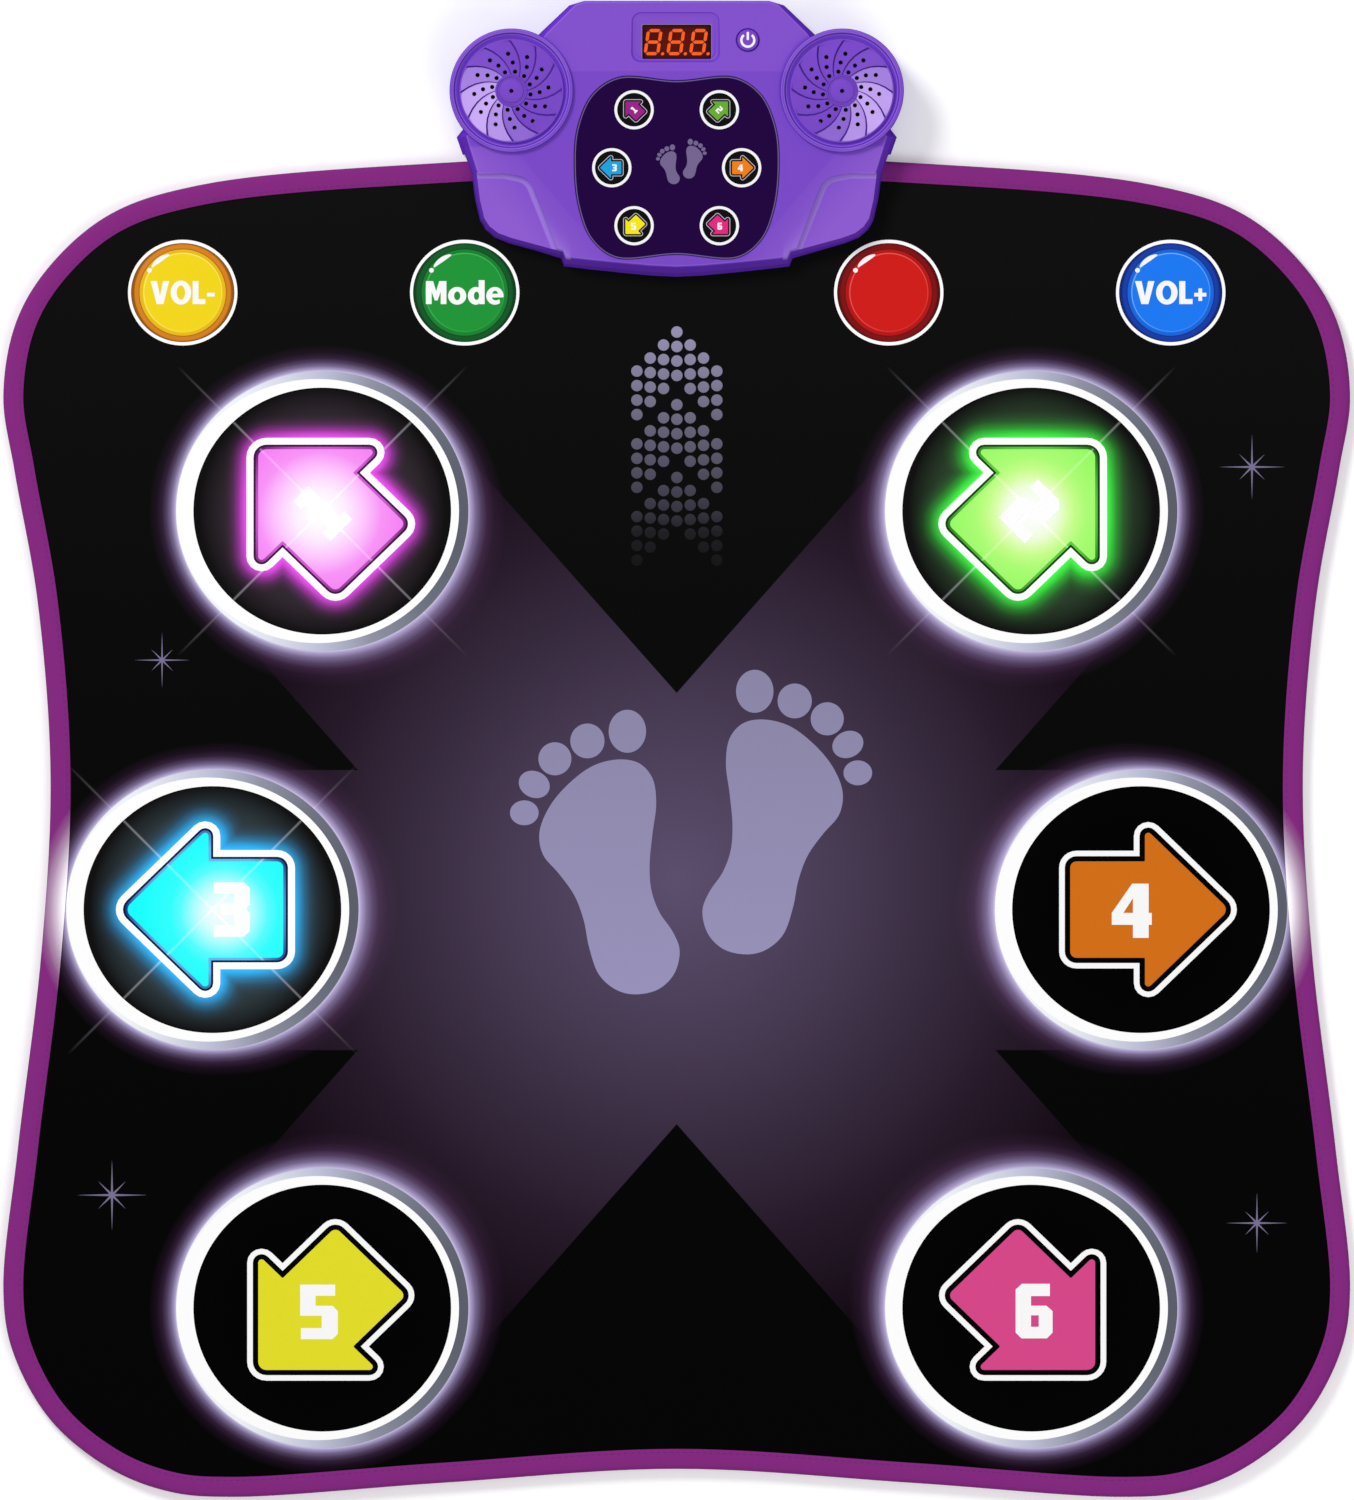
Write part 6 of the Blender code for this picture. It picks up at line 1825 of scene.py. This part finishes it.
class DANCE_OT_display(bpy.types.Operator):
    """Red display window with three glowing digits"""

    bl_idname = "dance.display"
    bl_label = "Display"
    bl_options = {"REGISTER", "UNDO"}

    def execute(self, context):
        g = Graph("lens_plastic", roughness=0.15, specular=0.03)
        x, y = g.x, g.y - (CONSOLE_FRONT + DISPLAY_AT)
        away = (abs(x) / (WINDOW_WIDTH / 2)).most(abs(y) / (WINDOW_HEIGHT / 2)).clamped()
        colour = g.ramp(away, (0.0, tone(98, 22, 12)), (0.8, tone(78, 18, 14)), (1.0, tone(34, 12, 12)))
        g.finish(g.grained(colour, 0.06, 900.0), g.noise(60.0), 0.00002, 0.1)
        merged_copy("display_lens", "display_window", g.material, "lens_red")
        loops = []
        for column in (-1, 0, 1):
            loops += self.digit(column * 0.0155 - 0.0006, on_face(DISPLAY_AT) - 0.0002)
        g = Graph("lit_segments", roughness=0.4, specular=0.1)
        lit = g.mix(g.noise(260.0), tuple(context.scene.dance_console.segment), tone(250, 104, 34))
        g.finish(lit, g.noise(900.0), 0.00002, 0.1, 0.12)
        high = LENS_TOP + PRINT
        flat_piece("display_digits", loops, LENS_TOP, high, g.material, "lens_red", matrix=FACE)
        rim = [
            rounded_box(0, on_face(DISPLAY_AT), WINDOW_WIDTH + d, WINDOW_HEIGHT + d, 0.0012)
            for d in (0.0010, 0.0002)
        ]
        plastic = moulded("rim_plastic", tone(150, 128, 168))
        level = -BEZEL_DEPTH
        flat_piece("display_rim", rim, level, level + PRINT * 2, plastic, "shell_purple", matrix=FACE)
        return {"FINISHED"}

    def digit(self, x, y):
        """Seven slanted bars and a point."""
        wide, tall, thick, slit = 0.0108, 0.0180, 0.0022, 0.0004
        half, quarter_way = wide / 2 - thick / 2, (tall - thick) / 4
        bars = [(0, level * quarter_way * 2, 0) for level in (-1, 0, 1)]
        bars += [(sx * half, sy * quarter_way, 1) for sx in (-1, 1) for sy in (-1, 1)]
        loops = []
        for px, py, upright in bars:
            long, short = (quarter_way if upright else half) - slit, thick / 2
            blunt = long - short
            bar = [(-long, 0), (-blunt, -short), (blunt, -short)]
            bar += [(-a, -b) for a, b in bar]
            if upright:
                bar = [(b, a) for a, b in bar]
            loops.append([(px + a, py + b) for a, b in bar])
        loops.append(ellipse(wide / 2 + 0.0022, -tall / 2 + 0.0010, 0.0011, 20))
        lean = math.tan(math.radians(8))
        return [[(x + a + lean * b, y + b) for a, b in loop] for loop in loops]


class DANCE_OT_power_button(bpy.types.Operator):
    """Round power button with its white sign"""

    bl_idname = "dance.power_button"
    bl_label = "Power button"
    bl_options = {"REGISTER", "UNDO"}

    def execute(self, context):
        top = BUTTON_TOP
        cap = face_disc(BUTTON_X, on_face(BUTTON_AT), (
            (0, top + 0.0003), (0.0045, top + 0.00027), (0.0060, top + 0.0001), (0.0066, top - 0.0003),
            (0.0069, top - 0.0008), (0.0070, top - 0.0016), (0, top - 0.0016),
        ), 72)
        material = moulded("button_plastic", tuple(context.scene.dance_console.shell), roughness=0.3)
        cap = join_shapes(cad_shape("power_button"), cap)
        obj = from_shape("power_button_cap", cap, material, "shell_purple", "power_button", 20)
        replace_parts(obj, "power_button")
        place = FACE @ Matrix.Translation((BUTTON_X, on_face(BUTTON_AT), 0))
        high = top + 0.0003
        film = {"slot": "shell_purple", "body": "power_button", "matrix": place}
        paint = ink("sign_ink", tone(252, 250, 255))
        flat_piece("power_sign", self.sign(), high - PRINT, high + PRINT, paint, **film)
        return {"FINISHED"}

    def sign(self):
        """A ring open at its top with a bar standing in the opening."""
        outer, inner = (arc(0, 0, radius, radius, 128, 412, 40) for radius in (0.0052, 0.0036))
        return [outer + inner[::-1], rounded_box(0, 0.0029, 0.0016, 0.0056, 0.0006)]


class DANCE_OT_speakers(bpy.types.Operator):
    """Speaker grilles with twelve swept vanes, and the cones behind them"""

    bl_idname = "dance.speakers"
    bl_label = "Speakers"
    bl_options = {"REGISTER", "UNDO"}

    def execute(self, context):
        for side, word in ((-1, "left"), (1, "right")):
            place = FACE @ Matrix.Translation((side * POD_X, on_face(POD_DEPTH_AT), 0))
            material = self.vane_plastic(f"grille_plastic_{word}", context.scene.dance_console)
            shape = self.grille(side, place)
            grille = from_shape(f"vaned_grille_{word}", shape, material, "shell_purple", sharp=16)
            self.note_vanes(grille, side, place)
            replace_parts(grille, f"speaker_grille_{word}")
            paper = plain(
                f"cone_paper_{word}", tone(30, 30, 32), (0.15, 900.0), (700.0, 0.0002, 0.6), roughness=0.8
            )
            merged_copy(f"paper_cone_{word}", f"speaker_cone_{word}", paper, "paper_black")
        return {"FINISHED"}

    def vane_plastic(self, name, settings):
        """Shell plastic, brighter on the vanes that face outwards and dark along their steps and steep
        sides: painted light and painted shade.
        """
        g = Graph(name, roughness=0.42, specular=0.08)
        base = tuple(settings.shell)
        colour = g.mix(g.attribute("vane_light"), base, tone(206, 173, 250))
        colour = g.mix(g.attribute("vane_line"), colour, tone(74, 36, 142))
        colour = g.mix(steepness(g) * 0.8, colour, tone(84, 46, 156))
        return g.finish(g.grained(colour, 0.025, 700.0), g.noise(2600.0), 0.00004, 0.22)

    def grille(self, side, place):
        """A disc whose top rises and falls like a pinwheel, pierced along each vane."""
        shares = [0.0, VANE_STEP, 0.08, 0.2, 0.35, 0.5, 0.65, 0.8, 0.9, 1 - VANE_STEP]
        edge = GRILLE_RADIUS
        rim = [
            (edge - 0.0004, GRILLE_LOW), (edge, GRILLE_LOW + 0.0003), (edge, 0.0017),
            (edge - 0.0003, 0.0021), (edge - 0.0008, GRILLE_TOP),
        ]
        vanes = [
            (edge - 0.0012, 0.0), (edge - 0.0022, 1.0), (0.0295, 1.0), (0.0250, 1.0), (0.0205, 1.0),
            (0.0165, 0.9), (0.0135, 0.75), (0.0118, 0.5),
        ]
        hub = [
            (0.0110, 0.0021), (0.0107, 0.0026), (0.0102, 0.0028), (0.0097, 0.0026), (0.0094, 0.0021),
            (0.0090, 0.0020), (0.0086, 0.0021), (0.0080, 0.0026), (0.0065, 0.0031), (0.0045, 0.0034),
            (0.0022, 0.0035), (0.0016, 0.0035),
        ]
        teeth = [0.0, *(1 - share for share in shares[1:])]
        levels = [(radius, [height] * len(shares)) for radius, height in rim]
        for radius, amount in vanes:
            saw = [GRILLE_TOP + amount * (VANE_RISE * tooth - VANE_DROP) for tooth in teeth]
            levels.append((radius, saw))
        levels += [(radius, [height] * len(shares)) for radius, height in hub]
        rings = [self.ring(side, radius, heights, shares) for radius, heights in levels]
        shape = lofted([[place @ Vector(point) for point in ring] for ring in rings])
        middles = []
        for vane_number in range(VANES):
            for ring in range(3):
                radius = FIRST_HOLE_RADIUS + HOLE_PITCH * ring
                turn = VANE_START + 2 * math.pi * vane_number / VANES - VANE_SWEEP * ring
                middles.append((side * radius * math.cos(turn), radius * math.sin(turn), 0))
        middles.append((0, 0, 0))
        drill = plug(HOLE_RADIUS, -0.002, 0.006)
        holes = [turned(drill, place @ Matrix.Translation(middle), 14) for middle in middles]
        return carve(shape, ("DIFFERENCE", join_shapes(*holes)))

    def note_vanes(self, grille, side, place):
        """Stores on each face how brightly its vane is lit, for painted light, and whether it belongs to
        a step, for painted shade.
        """
        to_disc = place.inverted()
        light = grille.data.attributes.new("vane_light", "FLOAT", "FACE")
        line = grille.data.attributes.new("vane_line", "FLOAT", "FACE")
        for face, bright, dark in zip(grille.data.polygons, light.data, line.data):
            x, y, _ = to_disc @ face.center
            radius = math.hypot(x, y)
            if not HUB_RADIUS + 0.0006 < radius < GRILLE_RADIUS - 0.0014:
                continue
            turn = math.atan2(y, side * x) - VANE_START + vane_sweep(radius)
            turns = turn / (2 * math.pi) * VANES + 0.5
            middle = 2 * math.pi * math.floor(turns + 1e-3) / VANES + VANE_START
            bright.value = max(0.0, math.cos(middle - VANE_LIT)) ** 1.6
            dark.value = float(min(turns % 1.0, 1 - turns % 1.0) < VANE_STEP)

    def ring(self, side, radius, heights, shares):
        """One ring of a pinwheel, turned further back the wider it is."""
        points = []
        for vane_number in range(VANES):
            for share, height in zip(shares, heights):
                turn = VANE_START + 2 * math.pi * (vane_number + share - 0.5) / VANES - vane_sweep(radius)
                points.append((side * radius * math.cos(turn), radius * math.sin(turn), height))
        return points


# ---- Inner parts ---------------------------------------------------------------------------
class DANCE_OT_mat_layers(bpy.types.Operator):
    """Foam and contact films between the mat's covers"""

    bl_idname = "dance.mat_layers"
    bl_label = "Mat layers"
    bl_options = {"REGISTER", "UNDO"}

    def execute(self, context):
        for node in ("foam_base", "spacer_foam"):
            g = Graph(f"{node}_cells", roughness=0.95, specular=0.1)
            cells = g.node("ShaderNodeTexVoronoi", {"Vector": g.here, "Scale": 900.0}).outputs["Distance"]
            material = g.finish(g.grained(tone(236, 234, 226), 0.06, 1200.0), cells, 0.0003, 0.8)
            foam = merged_copy(f"{node}_sheet", node, material, "foam_white")
        below = {"lower_contact_film": "foam_base_sheet", "upper_contact_film": "spacer_foam_sheet"}
        for node, under in below.items():
            g = Graph(f"{node}_plastic", roughness=0.25, specular=0.5)
            tracks = g.waves(0.012, g.x)
            colour = g.mix(((tracks - 0.9) * 20.0).clamped(), tone(205, 212, 214), tone(60, 60, 62))
            material = g.finish(g.grained(colour, 0.03, 300.0), g.noise(50.0), 0.0001, 0.2)
            film = merged_copy(f"{node}_sheet", node, material, "film_clear")
            shape = bmesh.new()
            shape.from_mesh(film.data)
            area = sum(face.calc_area() for face in shape.faces) / 2
            shape.free()
        return {"FINISHED"}


class DANCE_OT_inner_finishes(bpy.types.Operator):
    """Materials of the boards, speakers' frames, cells, contacts, screws, feet and wires"""

    bl_idname = "dance.inner_finishes"
    bl_label = "Inner finishes"
    bl_options = {"REGISTER", "UNDO"}

    def execute(self, context):
        finishes = {
            "light_board": self.board("lamp_board"),
            "main_board": self.board("circuit_board"),
            "light_baffle": moulded("baffle_plastic", tone(235, 235, 235), roughness=0.5),
            "display_module": moulded("module_plastic", tone(22, 22, 24), roughness=0.4),
            "power_switch": moulded("switch_plastic", tone(30, 30, 32), roughness=0.4),
            "speaker_frame": brushed_metal("pressed_steel", (0.5, 0.5, 0.52), 0.4),
            "speaker_lead": plain(
                "lead_sleeve", tone(170, 24, 26), (0.06, 900.0), (900.0, 0.00005, 0.3),
                roughness=0.45, specular=0.4,
            ),
            "ribbon_tail": self.ribbon(),
            "battery": self.cell(),
            "contact": brushed_metal("contact_nickel", (0.66, 0.63, 0.58), 0.28),
            "battery_door_screw": brushed_metal("door_screw_steel"),
            "case_screw": brushed_metal("case_screw_steel"),
            "mat_screw": brushed_metal("mat_screw_steel"),
            "rubber_foot": plain(
                "foot_rubber", tone(24, 24, 26), (0.1, 900.0), (1400.0, 0.0001, 0.5),
                roughness=0.85, specular=0.2,
            ),
        }
        replaced = {name for obj in bpy.data.objects for name in obj.get("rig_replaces", [])}
        for node, obj in frame["nodes"].items():
            stems = [stem for stem in finishes if node.startswith(stem)]
            if node in replaced or not stems:
                continue
            obj.data.materials.clear()
            obj.data.materials.append(finishes[max(stems, key=len)])
            obj.data.shade_smooth()
            obj.data.set_sharp_from_angle(angle=math.radians(25))
        return {"FINISHED"}

    def board(self, name):
        g = Graph(name, roughness=0.35, specular=0.5)
        tracks = (g.waves(0.004, g.x) * g.waves(0.0055, g.y) - 0.55) * 12.0
        colour = g.mix(tracks.clamped(), tone(20, 84, 44), tone(40, 124, 66))
        return g.finish(g.grained(colour, 0.08, 400.0), tracks.clamped(), 0.00004, 0.4)

    def ribbon(self):
        g = Graph("ribbon_film", roughness=0.35, specular=0.4)
        lines = ((g.waves(0.0025, g.x) - 0.5) * 10.0).clamped()
        colour = g.mix(lines, tone(220, 224, 226), tone(70, 70, 74))
        return g.finish(g.grained(colour, 0.03, 600.0), lines, 0.00003, 0.3)

    def cell(self):
        """A cell's printed jacket, copper-coloured at its positive end."""
        g = Graph("cell_jacket", roughness=0.3, specular=0.5)
        band = ((g.waves(0.1, g.x) - 0.5) * 60.0).clamped()
        colour = g.mix(band, tone(28, 30, 34), tone(190, 120, 60))
        return g.finish(g.grained(colour, 0.04, 500.0), g.noise(600.0), 0.00002, 0.2)


class DANCE_PT_sidebar(bpy.types.Panel):
    """Lists the machine's settings and the operators that build it"""

    bl_label = "Dance machine"
    bl_idname = "DANCE_PT_sidebar"
    bl_space_type = "VIEW_3D"
    bl_region_type = "UI"
    bl_category = "Dance machine"

    def draw(self, context):
        layout = self.layout
        for group in (context.scene.dance_mat, context.scene.dance_pads, context.scene.dance_console):
            box = layout.box()
            for name in group.__annotations__:
                box.prop(group, name)
        for operator in OPERATORS:
            layout.operator(operator.bl_idname)


SETTINGS = (
    ("dance_mat", DANCE_PG_mat),
    ("dance_pads", DANCE_PG_pads),
    ("dance_console", DANCE_PG_console),
)
OPERATORS = (
    DANCE_OT_stage,
    DANCE_OT_printed_cover,
    DANCE_OT_edge_binding,
    DANCE_OT_grip_backing,
    DANCE_OT_cover_print,
    DANCE_OT_step_pads,
    DANCE_OT_control_keys,
    DANCE_OT_console_top,
    DANCE_OT_console_bottom,
    DANCE_OT_face_panel,
    DANCE_OT_display,
    DANCE_OT_power_button,
    DANCE_OT_speakers,
    DANCE_OT_mat_layers,
    DANCE_OT_inner_finishes,
)


def register():
    for name, group in SETTINGS:
        bpy.utils.register_class(group)
        setattr(bpy.types.Scene, name, PointerProperty(type=group))
    for operator in OPERATORS:
        bpy.utils.register_class(operator)
    bpy.utils.register_class(DANCE_PT_sidebar)


def unregister():
    bpy.utils.unregister_class(DANCE_PT_sidebar)
    for operator in reversed(OPERATORS):
        bpy.utils.unregister_class(operator)
    for name, group in reversed(SETTINGS):
        delattr(bpy.types.Scene, name)
        bpy.utils.unregister_class(group)


def main():
    register()
    for operator in OPERATORS:
        family, action = operator.bl_idname.split(".")
        getattr(getattr(bpy.ops, family), action)()
    boxes = {"cad": FRAME_BOX, "visual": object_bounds()}
    {name: [list(corner) for corner in box] for name, box in boxes.items()}


if __name__ == "__main__":
    main()
